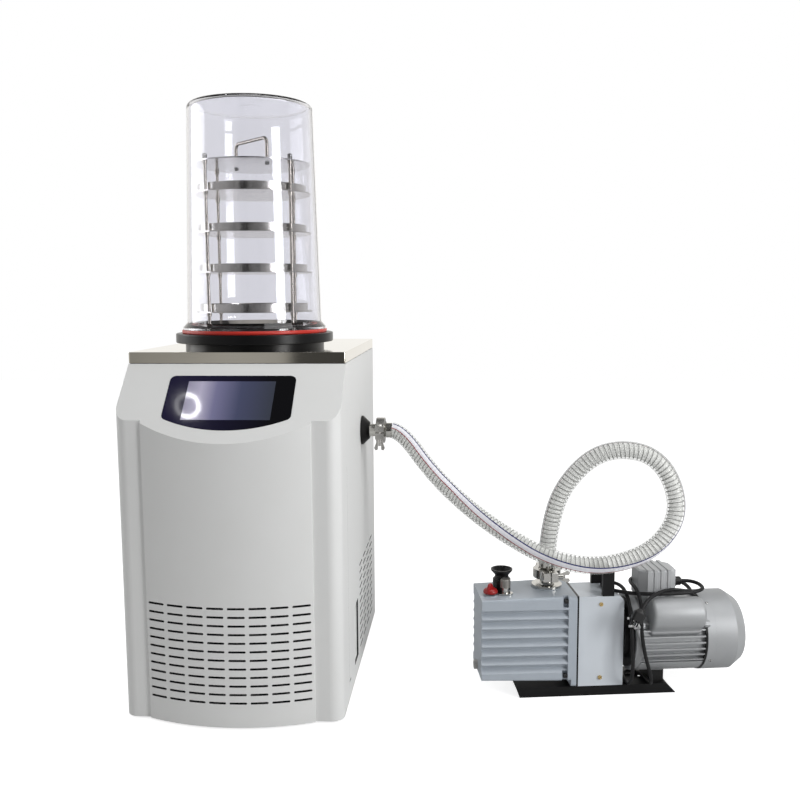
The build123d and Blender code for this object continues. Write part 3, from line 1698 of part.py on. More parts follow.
with BuildPart() as end_shields:
    for start, thick in ((motor_start - shield_t, shield_t), (motor_end, cowl_start - motor_end)):
        with BuildSketch(across(start)):
            Circle(motor_r - 1)
            Circle(shaft_r + shaft_gap, mode=Mode.SUBTRACT)
        extrude(amount=thick)
save(end_shields, "end_shields")

# Motor's shaft, rotor core and half of the coupling.
with BuildPart() as motor_rotor:
    with BuildSketch(across(hub_mid + hub_l / 6)):
        Circle(shaft_r)
    extrude(amount=cowl_shoulder - 5 - hub_mid - hub_l / 6)
    with BuildSketch(across(motor_start + core_inset)):
        Circle(core_r)
    extrude(amount=motor_l - 2 * core_inset)
    add(coupling_half(hub_mid + hub_l / 2, -1))
save(motor_rotor, "motor_rotor")

with BuildPart() as motor_fan:
    with BuildSketch(across(cowl_start + 8)):
        Circle(motor_fan_r)
    extrude(amount=3)
    with BuildSketch(across(cowl_start + 8)):
        Circle(shaft_r * 2)
        with PolarLocations(motor_fan_r * 0.6, 8):
            Rectangle(motor_fan_r * 0.76, 2.5)
    extrude(amount=24)
    with BuildSketch(across(cowl_start)):
        Circle(shaft_r)
    extrude(amount=60, mode=Mode.SUBTRACT)
save(motor_fan, "motor_fan")

with BuildPart() as fan_cowl:
    add(
        ring(
            across(0),
            [
                (cowl_r - cowl_t, cowl_start),
                (cowl_r, cowl_start),
                (cowl_r, cowl_shoulder),
                (cowl_end_r, cowl_end),
                (0, cowl_end),
                (0, cowl_end - cowl_t),
                (cowl_end_r - cowl_t / 2, cowl_end - cowl_t),
                (cowl_r - cowl_t, cowl_shoulder - cowl_t / 2),
            ],
        )
    )
    with BuildSketch(across(cowl_end - 2 * cowl_t)):
        for row in range(-4, 5):
            with Locations((0, row * 11)):
                SlotOverall(2 * sqrt((cowl_end_r - 8) ** 2 - (row * 11) ** 2), 5)
    extrude(amount=4 * cowl_t, mode=Mode.SUBTRACT)
save(fan_cowl, "fan_cowl")

# Capacitor cover: a domed sheet hood on the motor's upper front side.
cap_dir = (cos(radians(cap_angle)), sin(radians(cap_angle)))


def hood(start, length, radius):
    """Solid of the hood's outline: half round outside, straight down to the motor's fins."""
    with BuildPart() as solid:
        with BuildSketch(across(start)):
            with Locations((cap_out * cap_dir[0], cap_out * cap_dir[1])):
                Circle(radius)
            with Locations((cap_out * cap_dir[0] * 0.8, cap_out * cap_dir[1] * 0.8)):
                Rectangle(cap_out * 0.4, 2 * radius, rotation=cap_angle)
            Circle(motor_r, mode=Mode.SUBTRACT)
        extrude(amount=length)
    return solid.part


with BuildPart() as capacitor_cover:
    add(hood(cap_start, cap_end - cap_start, cap_r))
    add(hood(cap_start + cap_wall, cap_end - cap_start - 2 * cap_wall, cap_r - cap_wall), mode=Mode.SUBTRACT)
save(capacitor_cover, "capacitor_cover")

# Terminal box with raised ribs, hollow and open onto the motor's pad.
term_mid = (term_start + term_end) / 2
with BuildPart() as terminal_box:
    with BuildSketch(on_pump(term_mid, pump_mid, term_low)) as plan:
        Rectangle(term_end - term_start, 2 * term_half)
        chamfer(plan.vertices(), term_corner)
    extrude(amount=term_top - term_low)
    chamfer(terminal_box.edges().group_by(Axis.Z)[-1], 3)
    with BuildSketch(on_pump(term_mid, pump_mid, term_low)):
        with GridLocations(term_rib_pitch, 1, term_ribs, 1):
            Rectangle(term_rib_pitch / 2, 2 * term_half + 2.4)
    extrude(amount=term_top + 1.2 - term_low)
    with BuildSketch(on_pump(term_mid, pump_mid, term_low)):
        Rectangle(term_end - term_start - 2 * term_wall, 2 * (term_half - term_corner))
        Rectangle(term_end - term_start - 2 * term_corner, 2 * (term_half - term_wall))
    extrude(amount=term_top - term_low - 2 * term_wall, mode=Mode.SUBTRACT)
    with BuildSketch(across(term_end - 2 * term_wall, up=gland_z)):
        Circle(gland_r - 3)
    extrude(amount=4 * term_wall, mode=Mode.SUBTRACT)
save(terminal_box, "terminal_box")

with BuildPart() as cable_gland:
    with BuildSketch(across(term_end, up=gland_z)):
        RegularPolygon(gland_r, 6)
    extrude(amount=gland_l * 0.4)
    with BuildSketch(across(term_end, up=gland_z)):
        Circle(gland_r - 1.5)
    extrude(amount=gland_l)
    chamfer(cable_gland.edges().group_by(Axis(across(0).origin, pump.x_dir))[-1], 2)
    with BuildSketch(across(term_end, up=gland_z)):
        Circle(gland_r - 3)
    extrude(amount=-6)
    with BuildSketch(across(term_end, up=gland_z)):
        Circle(cord_r)
    extrude(amount=60, both=True, mode=Mode.SUBTRACT)
save(cable_gland, "cable_gland")

# ---------------------------------------------------------------- vacuum hose and mains cord


def bend_radii(points, widest):
    """Bend radius at each corner of a route, from the shorter of the two runs that meet."""
    radii = []
    for before, corner, after in zip(points, points[1:], points[2:]):
        run_in = Vector(*corner) - Vector(*before)
        run_out = Vector(*after) - Vector(*corner)
        half_turn = radians(run_in.get_angle(run_out) / 2)
        radii.append(min(widest, 0.45 * min(run_in.length, run_out.length) / tan(half_turn)))
    return radii


def tube(points, radius, widest):
    """Round tube along a route's straight runs and tangent arcs."""
    radii = bend_radii(points, widest)
    with BuildPart() as piece:
        with BuildLine() as route:
            FilletPolyline(*points, radius=radii)
        line = route.wires()[0]
        with BuildSketch(Plane(origin=line @ 0, z_dir=line % 0)):
            Circle(radius)
        sweep(path=line, transition=Transition.ROUND)
    print("centreline", round(line.length, 1), "arc radii", [round(r, 1) for r in radii])
    print("volume", round(piece.part.volume), "of", round(pi * radius**2 * line.length))
    return piece


# Clear wire-wound hose from the cabinet's port to the pump's intake.
hose_start = port_joint.offset(adaptor_l)
hose_end = intake_joint.offset(adaptor_l)
hose_points = [
    tuple(hose_start.origin),
    (-70, 38, 482),
    (-20, -15, 386),
    (48, -63, 341),
    (115, -120, 295),
    (198, -164, 264),
    (295, -166, 249),
    (393, -149, 276),
    (443, -129, 359),
    (400, -116, 460),
    (297, -105, 467),
    (226, -99.2, 394),
    tuple(hose_end.offset(50).origin),
    tuple(hose_end.origin),
]
vacuum_hose = tube(hose_points, hose_r, 3.4 * 2 * hose_r)
save(vacuum_hose, "vacuum_hose")

# Mains cord, in the pump's own directions: loop at the gland, over the capacitor's cover and
# behind the handle, down to the rails and back, round the terminal box and out to its plug.
cord_points = [
    tuple(pump.from_local_coords(point))
    for point in [
        (term_end + 1, pump_mid, gland_z),
        (352, 42, 207),
        (352, -16, 203),
        (230, -16, 200.5),
        (170, 26, 199),
        (170, 68, 199),
        (207, 66, 199),
        (204, -4, 198),
        (203, -34, 150),
        (208, -35, 23),
        (206.5, 52, 23),
        (249, 52, 23),
        (249, -35, 23),
        (219, -38, 120),
        (219.5, -36, 210),
        (223, 86, 206),
        (334, 84, 198),
        (334, 0, 197),
        (285, 2, 206),
        (226, -46, 205),
        (214, -52, 186),
    ]
]
power_cord = tube(cord_points, cord_r, 6 * cord_r)
save(power_cord, "power_cord")

# Plug: moulded body on the cord's end, three pins on its face.
plug = Plane(
    origin=cord_points[-1],
    x_dir=pump.x_dir,
    z_dir=Vector(*cord_points[-1]) - Vector(*cord_points[-2]),
)
with BuildPart() as power_plug:
    with BuildSketch(plug):
        Circle(5)
    with BuildSketch(plug.offset(8)):
        RectangleRounded(22, 15, 4)
    loft()
    with BuildSketch(plug.offset(8)):
        RectangleRounded(22, 15, 4)
    extrude(amount=16)
    with BuildSketch(plug.offset(24)):
        with Locations((0, 3), (-6, -3), (6, -3)):
            Rectangle(1.8, 3.6)
    extrude(amount=9)
save(power_plug, "power_plug")
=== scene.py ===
from math import cos, pi, radians, sin

import bmesh
import bpy
from mathutils import Matrix, Vector


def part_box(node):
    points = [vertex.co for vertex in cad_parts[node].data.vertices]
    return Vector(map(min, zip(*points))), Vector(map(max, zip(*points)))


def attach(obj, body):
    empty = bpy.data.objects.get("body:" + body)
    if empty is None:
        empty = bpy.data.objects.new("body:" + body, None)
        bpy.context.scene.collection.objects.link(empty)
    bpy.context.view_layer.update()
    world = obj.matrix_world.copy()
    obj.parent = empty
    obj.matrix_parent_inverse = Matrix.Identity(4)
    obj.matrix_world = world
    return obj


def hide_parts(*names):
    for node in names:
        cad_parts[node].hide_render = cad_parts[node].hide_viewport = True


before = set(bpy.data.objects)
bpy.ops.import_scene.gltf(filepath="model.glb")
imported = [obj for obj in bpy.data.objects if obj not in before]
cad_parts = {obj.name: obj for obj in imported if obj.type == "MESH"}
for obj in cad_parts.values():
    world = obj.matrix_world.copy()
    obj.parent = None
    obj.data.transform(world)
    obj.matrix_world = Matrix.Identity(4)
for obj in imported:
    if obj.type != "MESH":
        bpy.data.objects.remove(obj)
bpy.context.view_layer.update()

# ------------------------------------------------------------------ camera
# A 40 mm lens 1.8 m in front of the set, a little above the cabinet's top. It is turned
# 4 degrees to the left and 7 down.
yaw, pitch, roll = 0.073, 0.118, -0.006
ahead = Vector((-sin(yaw) * cos(pitch), cos(yaw) * cos(pitch), -sin(pitch)))
level = Vector((cos(yaw), sin(yaw), 0))
raised = level.cross(ahead)
rightward = level * cos(roll) + raised * sin(roll)
upward = raised * cos(roll) - level * sin(roll)
lens = bpy.data.cameras.new("camera")
lens.lens = 40.6
lens.sensor_width = 36
camera = bpy.data.objects.new("camera", lens)
turn = Matrix((rightward, upward, -ahead)).transposed().to_4x4()
camera.matrix_world = Matrix.Translation((0.04036, -1.80941, 0.76462)) @ turn
bpy.context.collection.objects.link(camera)
bpy.context.scene.camera = camera

# ------------------------------------------------------------------ vacuum hose
# Clear PVC hose with a steel wire wound in its wall, and a printed white band with a blue
# and a red line. It runs from the cabinet's port to the pump's intake in one loose loop,
# fixed to a flanged tail at each end.


class Value:
    """A node socket that takes part in sums, in shader and geometry trees alike."""

    def __init__(self, tree, socket):
        self.tree, self.socket = tree, socket

    def maths(self, operation, *values):
        return self.tree.node("ShaderNodeMath", dict(enumerate(values)), operation=operation)

    def __add__(self, other):
        return self.maths("ADD", self, other)

    def __sub__(self, other):
        return self.maths("SUBTRACT", self, other)

    def __mul__(self, other):
        return self.maths("MULTIPLY", self, other)

    def __gt__(self, other):
        return self.maths("GREATER_THAN", self, other)

    def __lt__(self, other):
        return self.maths("LESS_THAN", self, other)

    def __rsub__(self, other):
        return self.maths("SUBTRACT", other, self)

    __radd__, __rmul__ = __add__, __mul__

    def most(self, other):
        return self.maths("MAXIMUM", self, other)

    def away(self):
        """How far the value is from zero."""
        return self.maths("ABSOLUTE", self)


class Tree:
    """A node tree that is filled through one method."""

    def node(self, kind, sockets=None, output=0, stops=None, **settings):
        """Adds a node: its settings first, then the values or links of its sockets."""
        node = self.tree.nodes.new(kind)
        for key, setting in settings.items():
            setattr(node, key, setting)
        if stops:
            ramp = node.color_ramp.elements
            while len(ramp) < len(stops):
                ramp.new(0.5)
            for element, (place, colour) in zip(ramp, stops):
                element.position, element.color = place, (*colour, 1)
        for key, value in (sockets or {}).items():
            if isinstance(value, Value):
                self.tree.links.new(value.socket, node.inputs[key])
            elif value is not None:
                node.inputs[key].default_value = value
        return Value(self, node.outputs[output]) if node.outputs else None

    def blend(self, amount, low, high):
        """Colour between two colours."""
        low, high = (c if isinstance(c, Value) else (*c, 1) for c in (low, high))
        return self.node("ShaderNodeMix", {0: amount, 6: low, 7: high}, output=2, data_type="RGBA")


class Finish(Tree):
    """One material."""

    def __init__(self, name):
        self.material = bpy.data.materials.new(name)
        self.material.use_nodes = True
        self.tree = self.material.node_tree
        self.tree.nodes.clear()

    def place(self, scale=(1, 1, 1)):
        """The point on the piece, in metres, scaled along the axes for a grain."""
        point = self.node("ShaderNodeTexCoord", output="Object")
        return self.node("ShaderNodeMapping", {"Vector": point, "Scale": scale})

    def along(self, axis):
        """How far along one of the three axes the point is, in metres."""
        return self.node("ShaderNodeSeparateXYZ", {0: self.place()}, output=axis)

    def noise(self, size, scale=(1, 1, 1), detail=2.0):
        """Soft random value from 0 to 1 with features about size metres across."""
        sockets = {"Vector": self.place(scale), "Scale": 1 / size, "Detail": detail}
        return self.node("ShaderNodeTexNoise", sockets)

    def relief(self, height, depth, under=None):
        """Surface normal for a height from 0 to 1 that stands for depth metres."""
        sockets = {"Height": height, "Distance": depth, "Strength": 1.0, "Normal": under}
        return self.node("ShaderNodeBump", sockets)

    def surface(self, **sockets):
        """Ends the material in one Principled shader with these sockets."""
        named = {key.replace("_", " "): value for key, value in sockets.items()}
        shader = self.node("ShaderNodeBsdfPrincipled", named)
        self.node("ShaderNodeOutputMaterial", {"Surface": shader})
        return self.material


def show(mesh, name, body, material=None):
    """Puts a finished mesh into the scene as a piece that rides on a body."""
    mesh.name = name
    if material:
        mesh.materials.append(material)
    piece = bpy.data.objects.new(name, mesh)
    bpy.context.collection.objects.link(piece)
    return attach(piece, body)


def route(name, points):
    """Curve object of one smooth line with the points as its control points."""
    curve = bpy.data.curves.new(name, "CURVE")
    curve.dimensions = "3D"
    curve.resolution_u = 24
    spline = curve.splines.new("NURBS")
    spline.points.add(len(points) - 1)
    for control, point in zip(spline.points, points):
        control.co = (*point, 1)
    spline.order_u = 3
    spline.use_endpoint_u = True
    cord = bpy.data.objects.new(name, curve)
    bpy.context.collection.objects.link(cord)
    return cord


def rings(points):
    """For each point of a line, its length so far and two directions across it."""
    found, length, across = [], 0.0, Vector((0, 0, 1))
    for index, point in enumerate(points):
        before, after = points[max(index - 1, 0)], points[min(index + 1, len(points) - 1)]
        ahead = (after - before).normalized()
        across = (across - ahead * across.dot(ahead)).normalized()
        length += (point - before).length
        found.append((point, length, across.copy(), ahead.cross(across)))
    return found


hose_points = [
    (-0.112, 0.038, 0.482),
    (-0.090, 0.037, 0.478),
    (-0.030, -0.008, 0.405),
    (0.040, -0.055, 0.346),
    (0.118, -0.112, 0.302),
    (0.200, -0.158, 0.269),
    (0.296, -0.168, 0.258),
    (0.396, -0.152, 0.290),
    (0.443, -0.130, 0.364),
    (0.402, -0.117, 0.463),
    (0.300, -0.106, 0.473),
    (0.226, -0.0995, 0.400),
    (0.200, -0.09915, 0.308),
    (0.19802, -0.09915, 0.250),
]
hose_r = 0.017
hose_bore = 0.0125
wire_r = 0.0147
wire_pitch = 0.0083
wire_t = 0.0008
hose_route = route("hose_route", hose_points)
hose_line = [v.co.copy() for v in bpy.data.meshes.new_from_object(hose_route).vertices]
bpy.data.objects.remove(hose_route)
hose_rings = rings(hose_line)

hose_sides = 32
wall = bmesh.new()
wrap = wall.loops.layers.uv.new("UVMap")
walls = []
for radius, way in ((hose_r, 1), (hose_bore, -1)):
    grid = []
    for point, length, across, back in hose_rings:
        loop = []
        for index in range(hose_sides):
            angle = 2 * pi * index / hose_sides
            loop.append(wall.verts.new(point + (across * cos(angle) + back * sin(angle)) * radius))
        grid.append(loop)
    for row in range(len(grid) - 1):
        for index in range(hose_sides):
            following = (index + 1) % hose_sides
            corners = [(row, index), (row, following), (row + 1, following), (row + 1, index)]
            corners = corners[:: -way]
            face = wall.faces.new([grid[r][i] for r, i in corners])
            face.smooth = True
            face.material_index = 0 if way == 1 else 1
            for loop, (r, i) in zip(face.loops, corners):
                turned = 1.0 if i == 0 and index == hose_sides - 1 else i / hose_sides
                loop[wrap].uv = (hose_rings[r][1], turned)
    walls.append(grid)
for end, way in ((0, 1), (-1, -1)):
    outer, inner = walls[0][end], walls[1][end]
    for index in range(hose_sides):
        following = (index + 1) % hose_sides
        corners = [outer[index], outer[following], inner[following], inner[index]]
        wall.faces.new(corners[:: -way])
hose_mesh = bpy.data.meshes.new("hose_wall")
wall.to_mesh(hose_mesh)
wall.free()

# The printed band's place round the wall, in turns, and how it winds along the run, by metres.
band_at = 0.18
wind_from, turns_a_metre = 0.27, 0.62
least_wind, most_wind = -0.05, 0.33
band_half = 0.046
blue_at, blue_half = -0.052, 0.011
red_at, red_half = 0.051, 0.008
pvc = Finish("clear_pvc")
wrapped = pvc.node("ShaderNodeUVMap")
run, turned = (pvc.node("ShaderNodeSeparateXYZ", {0: wrapped}, output=axis) for axis in (0, 1))
twist = run.maths("MINIMUM", ((run - wind_from) * turns_a_metre).most(least_wind), most_wind)
offset = run.maths("FRACT", turned - twist + (1.5 - band_at)) - 0.5
band = offset.away() < band_half
blue_line = (offset - blue_at).away() < blue_half
red_line = (offset - red_at).away() < red_half
tint = pvc.blend(band, (0.74, 0.75, 0.72), (0.84, 0.84, 0.90))
tint = pvc.blend(blue_line, tint, (0.012, 0.016, 0.12))
tint = pvc.blend(red_line, tint, (0.26, 0.02, 0.025))
edge_on = pvc.node("ShaderNodeLayerWeight", {"Blend": 0.45}, output="Facing")
cloud = pvc.noise(0.02, detail=3.0)
printed = (band * 0.80).most(blue_line * 0.96).most(red_line * 0.90)
cover = (0.08 + edge_on * 0.36 + cloud * 0.05).most(printed)
clear_pvc = pvc.surface(
    Base_Color=tint,
    Roughness=0.10 + cloud * 0.12,
    Alpha=cover,
    Normal=pvc.relief(pvc.noise(0.006), 0.00003),
)
milk = Finish("milky_bore")
bloom = milk.noise(0.012, detail=3.0)
milky_bore = milk.surface(
    Base_Color=milk.blend(bloom, (0.84, 0.85, 0.82), (0.92, 0.93, 0.90)),
    Roughness=0.30 + bloom * 0.15,
    Alpha=0.52 + bloom * 0.10,
)
hose_mesh.materials.append(clear_pvc)
hose = show(hose_mesh, "hose_wall", "base", milky_bore)

wire_line = []
wire_end = 0.004
steps_a_turn = 14
hose_run = hose_rings[-1][1]
steps = int(hose_run / wire_pitch * steps_a_turn)
passed = 0
for step in range(steps + 1):
    length = wire_end + (hose_run - 2 * wire_end) * step / steps
    while hose_rings[passed + 1][1] < length:
        passed += 1
    (a, start, a_across, a_back), (b, end, b_across, b_back) = hose_rings[passed : passed + 2]
    part = (length - start) / (end - start)
    angle = length * (2 * pi / wire_pitch)
    across = a_across.lerp(b_across, part) * cos(angle) + a_back.lerp(b_back, part) * sin(angle)
    wire_line.append(a.lerp(b, part) + across * wire_r)
wire_curve = bpy.data.curves.new("hose_wire", "CURVE")
wire_curve.dimensions = "3D"
wire_curve.bevel_depth = wire_t
wire_curve.bevel_resolution = 0
coil = wire_curve.splines.new("POLY")
coil.points.add(len(wire_line) - 1)
for control, point in zip(coil.points, wire_line):
    control.co = (*point, 1)
wire_form = bpy.data.objects.new("hose_wire", wire_curve)
bpy.context.collection.objects.link(wire_form)
wire_mesh = bpy.data.meshes.new_from_object(wire_form)
bpy.data.objects.remove(wire_form)

steel = Finish("spring_wire")
steel_spots = steel.noise(0.003)
spring_wire = steel.surface(
    Base_Color=steel.blend(steel_spots, (0.13, 0.13, 0.13), (0.22, 0.22, 0.215)),
    Metallic=0.3,
    Roughness=0.50 + steel_spots * 0.15,
)
wire = show(wire_mesh, "hose_wire", "base", spring_wire)
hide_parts("vacuum_hose")

# ------------------------------------------------------------------ motor's power cord
# Black round three-core lead. It leaves the gland on the terminal box, is laid round the
# carrying handle and the coupling housing for transport, and ends in a moulded plug.
pump_turn = radians(8.07)
pump_at = Vector((0.1445, -0.1633, 0))


def on_pump(x, y, z):
    """The point so many millimetres along, across and above the pump's rails."""
    ahead, aside = x * cos(pump_turn) - y * sin(pump_turn), x * sin(pump_turn) + y * cos(pump_turn)
    return pump_at + Vector((ahead, aside, z)) / 1000


cord_points = [
    (322, 42, 207),
    (352, 42, 207),
    (352, -16, 203),
    (230, -16, 200.5),
    (170, 26, 199),
    (170, 68, 199),
    (207, 66, 199),
    (204, -4, 198),
    (203, -34, 150),
    (208, -35, 23),
    (206.5, 52, 23),
    (249, 52, 23),
    (249, -35, 23),
    (219, -38, 120),
    (219.5, -36, 210),
    (223, 86, 206),
    (334, 84, 198),
    (334, 0, 197),
    (285, 2, 206),
    (226, -46, 205),
    (214, -52, 186),
]
cord_r = 0.0035
lead = route("power_lead", [on_pump(*point) for point in cord_points])
lead.data.bevel_depth = cord_r
lead.data.bevel_resolution = 4
sheath = Finish("black_sheath")
scuffs = sheath.noise(0.012, detail=4.0)
black_sheath = sheath.surface(
    Base_Color=sheath.blend(scuffs, (0.004, 0.004, 0.005), (0.013, 0.013, 0.014)),
    Roughness=0.42 + scuffs * 0.22,
    Specular_IOR_Level=0.3,
    Normal=sheath.relief(sheath.noise(0.0015), 0.00004),
)
lead.data.materials.append(black_sheath)
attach(lead, "base")
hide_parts("power_cord")
on_pump(*cord_points[0])

# ------------------------------------------------------------------ cabinet shell
# Folded sheet-steel panels with a white powder coat of fine orange-peel, over an inner
# frame coloured dark grey as painted shade inside the cabinet; the front panel is a bowed
# moulding in the same white. The walls of the punched slots and of the side recess are
# coloured near black as painted shade.


def dress(material, *names):
    """Gives the CAD nodes of these names the material."""
    for name in names:
        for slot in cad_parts[name].material_slots:
            slot.material = material


def coated(name, dark, light, rough, grain, depth, **more):
    """Painted, moulded or rubber surface: soft patches between two colours, uneven gloss,
    and a skin whose grain and depth are in metres."""
    finish = Finish(name)
    patch = finish.noise(0.07, detail=3.0)
    return finish.surface(
        Base_Color=finish.blend(patch, dark, light),
        Roughness=rough + (patch - 0.5) * 0.10,
        Normal=finish.relief(finish.noise(grain), depth),
        **more,
    )


def drawn(name, dark, light, rough, scale, grain=0.002, **more):
    """Bare or plated metal with fine lines that run along the axis with the least scale."""
    finish = Finish(name)
    lines = finish.noise(grain, scale, detail=3.0)
    cloud = finish.noise(0.05)
    return finish.surface(
        Base_Color=finish.blend(lines * 0.5 + cloud * 0.5, dark, light),
        Metallic=1.0,
        Roughness=rough + (lines - 0.5) * 0.12,
        Normal=finish.relief(lines, 0.00001),
        **more,
    )


# The slotted zones: the front grille by its height, the right panel by its depth and height.
grille_mid, grille_half, behind_face = 0.136, 0.092, -0.24
panel_inside, slots_deep, slots_mid, slots_half = -0.1785, 0.222, 0.24, 0.21
powder = Finish("powder_coat")
patch = powder.noise(0.07, detail=3.0)
facing = powder.node("ShaderNodeNewGeometry", output="True Normal")
sideward, upright = (
    powder.node("ShaderNodeSeparateXYZ", {0: facing}, output=axis).away() for axis in (0, 2)
)
shell_x, shell_y, shell_z = (powder.along(axis) for axis in range(3))
# Painted shade: the walls of the front and side slots, and the outer edge of the side recess's walls,
# are coloured near black.
front_slot_shade = (upright > 0.4) * ((shell_z - grille_mid).away() < grille_half) * (shell_y < behind_face)
side_slot_shade = (sideward < 0.5) * (shell_x > panel_inside) * (shell_y.away() < slots_deep)
side_slot_shade = side_slot_shade * ((shell_z - slots_mid).away() < slots_half)
white_coat = powder.blend(patch, (0.74, 0.745, 0.735), (0.77, 0.775, 0.77))
powder_coat = powder.surface(
    Base_Color=powder.blend(front_slot_shade.most(side_slot_shade), white_coat, (0.012, 0.012, 0.013)),
    Roughness=0.50 + (patch - 0.5) * 0.10,
    Normal=powder.relief(powder.noise(0.0011), 0.000012),
)
dress(powder_coat, "front_panel", "right_panel", "left_panel", "rear_panel")
# Painted shade: the inner frame's dark grey stands for the shade inside the cabinet behind the slots.
dress(coated("frame_grey", (0.030, 0.031, 0.033), (0.05, 0.051, 0.053), 0.5, 0.002, 0.00002), "chassis")
dress(coated("foot_rubber", (0.006, 0.006, 0.006), (0.014, 0.014, 0.014), 0.7, 0.0008, 0.00005), "feet")

# ------------------------------------------------------------------ stainless top plate
# Brushed stainless sheet, folded down all round as a skirt over the panels.
# Its grain runs across the cabinet.
brushed = Finish("brushed_stainless")
streaks = brushed.noise(0.0012, (0.02, 1, 1), detail=4.0)
smears = brushed.noise(0.06, (0.5, 1, 1), detail=3.0)
brushed_stainless = brushed.surface(
    Base_Color=brushed.blend(streaks * 0.4 + smears * 0.6, (0.58, 0.55, 0.48), (0.76, 0.73, 0.66)),
    Metallic=1.0,
    Roughness=0.02 + streaks * 0.03 + smears * 0.02,
    Normal=brushed.relief(streaks, 0.00001),
)
dress(brushed_stainless, "top_plate")

# ------------------------------------------------------------------ touch screen
# Dark tinted pane with a wide border, let into the slanted control face. The display
# behind it is coloured light violet on the left and near black on the right, a painted
# glow and reflection, and the border is faintly violet at its left end, a painted
# reflection too. Its boards are bare green laminate behind the face.
cabinet_mid = -0.375
face_top, face_slope = 0.639, radians(43.8)
lcd_down, lcd_half_wide, lcd_half_high = 0.083, 0.079, 0.0425
pane = Finish("screen_pane")
sideways = pane.along(0) - cabinet_mid
down_face = (face_top - pane.along(2)) * (1 / cos(face_slope))
inside_lcd = (sideways.away() < lcd_half_wide) * ((down_face - lcd_down).away() < lcd_half_high)
across_lcd = (sideways + lcd_half_wide) * (1 / (2 * lcd_half_wide))
# Painted light: the display's colour runs from light violet on the left to near black on the right, a
# painted glow and reflection.
lcd_painted_light = pane.node(
    "ShaderNodeValToRGB",
    {0: across_lcd},
    stops=[
        (0.0, (0.34, 0.32, 0.44)),
        (0.16, (0.50, 0.47, 0.62)),
        (0.34, (0.20, 0.195, 0.335)),
        (0.62, (0.066, 0.074, 0.142)),
        (1.0, (0.040, 0.046, 0.066)),
    ],
)
# Painted reflection: the border is faintly violet at its left end and black at its right.
border_painted_reflection = pane.node(
    "ShaderNodeValToRGB",
    {0: across_lcd},
    stops=[(0.0, (0.013, 0.011, 0.036)), (0.5, (0.009, 0.008, 0.022)), (1.0, (0.004, 0.004, 0.005))],
)
fingers = pane.noise(0.03, detail=4.0)
screen_pane = pane.surface(
    Base_Color=pane.blend(inside_lcd, border_painted_reflection, lcd_painted_light),
    Roughness=0.05 + fingers * 0.07,
    Specular_IOR_Level=0.12,
    Coat_Weight=0.12 + inside_lcd * 0.88,
    Coat_Roughness=0.04,
    Normal=pane.relief(fingers, 0.000004),
)
dress(screen_pane, "screen_glass")
laminate = coated("circuit_board", (0.01, 0.09, 0.03), (0.02, 0.13, 0.05), 0.35, 0.002, 0.00008)
dress(laminate, "control_boards")

# ------------------------------------------------------------------ cold trap and chamber ring
# Deep-drawn stainless pot in insulating foam; over its neck lies a turned black ring that
# carries the silicone seal on which the jar stands. The seal is red at its outer rim;
# where the jar's flange covers it, it is coloured near black as painted shade.
dress(drawn("deep_drawn", (0.50, 0.50, 0.49), (0.74, 0.74, 0.73), 0.16, (1, 1, 0.1)), "cold_trap_pot")
ring_black = coated(
    "black_ring", (0.003, 0.003, 0.0035), (0.006, 0.006, 0.0065), 0.30, 0.0009, 0.00001,
    Specular_IOR_Level=0.22,
)
dress(ring_black, "chamber_ring")
trap_back, covered_r = -0.044, 0.1382
silicone = Finish("red_silicone")
seat_x, seat_y = silicone.along(0) - cabinet_mid, silicone.along(1) - trap_back
# Painted shade: inside covered_r, under the jar's flange, the seal is near black; only its rim shows
# red.
unshaded_rim = (seat_x * seat_x + seat_y * seat_y) > covered_r**2
dust = silicone.noise(0.03, detail=3.0)
dusty_red = silicone.blend(dust, (0.52, 0.022, 0.015), (0.62, 0.035, 0.02))
dress(
    silicone.surface(
        Base_Color=silicone.blend(unshaded_rim, (0.014, 0.010, 0.010), dusty_red),
        Roughness=0.34 + dust * 0.10,
        Normal=silicone.relief(silicone.noise(0.001), 0.00002),
    ),
    "chamber_seal",
)
foam = coated("grey_foam", (0.05, 0.05, 0.05), (0.10, 0.10, 0.10), 0.9, 0.003, 0.0004)
dress(foam, "trap_insulation")

# ------------------------------------------------------------------ bell jar
# Cast clear acrylic bell with a 5 mm wall, a round gate mark on its crown and a polished
# flange. Daylight passes through it, so it shades what is inside only a little.
acrylic = Finish("clear_acrylic")
haze = acrylic.noise(0.05, detail=3.0)
glass = acrylic.node(
    "ShaderNodeBsdfPrincipled",
    {
        "Base Color": acrylic.blend(haze, (0.835, 0.835, 0.875), (0.85, 0.85, 0.89)),
        "Roughness": haze * 0.015,
        "IOR": 1.45,
        "Transmission Weight": 1.0,
        "Normal": acrylic.relief(haze, 0.00002),
    },
)
clear = acrylic.node("ShaderNodeBsdfTransparent", {"Color": (0.93, 0.93, 0.95, 1)})
kinds = ("Is Shadow Ray", "Is Diffuse Ray")
shadow, diffuse = (acrylic.node("ShaderNodeLightPath", output=kind) for kind in kinds)
acrylic.node(
    "ShaderNodeOutputMaterial",
    {"Surface": acrylic.node("ShaderNodeMixShader", {0: shadow.most(diffuse), 1: glass, 2: clear})},
)
dress(acrylic.material, "bell_jar")

# ------------------------------------------------------------------ tray rack
# Four thin stainless rods, with a collar under every shelf, carry four shelf discs and a
# top disc that cap nuts hold down; a bent wire handle is screwed to it. A shallow drawn
# tray stands on each shelf.
tray_steel = drawn("tray_steel", (0.40, 0.39, 0.37), (0.66, 0.65, 0.62), 0.17, (1, 1, 0.05))
dress(tray_steel, "trays", "rack_shelves")
disc_steel = drawn("disc_steel", (0.60, 0.60, 0.61), (0.68, 0.68, 0.69), 0.17, (0.05, 1, 1))
dress(disc_steel, "rack_top_plate")
rod_steel = drawn("rod_steel", (0.30, 0.28, 0.25), (0.42, 0.39, 0.35), 0.22, (1, 1, 0.02))
dress(rod_steel, "rack_rods", "rack_handle")
dress(drawn("nut_steel", (0.14, 0.14, 0.14), (0.30, 0.30, 0.29), 0.30, (1, 1, 1)), "rack_fasteners")

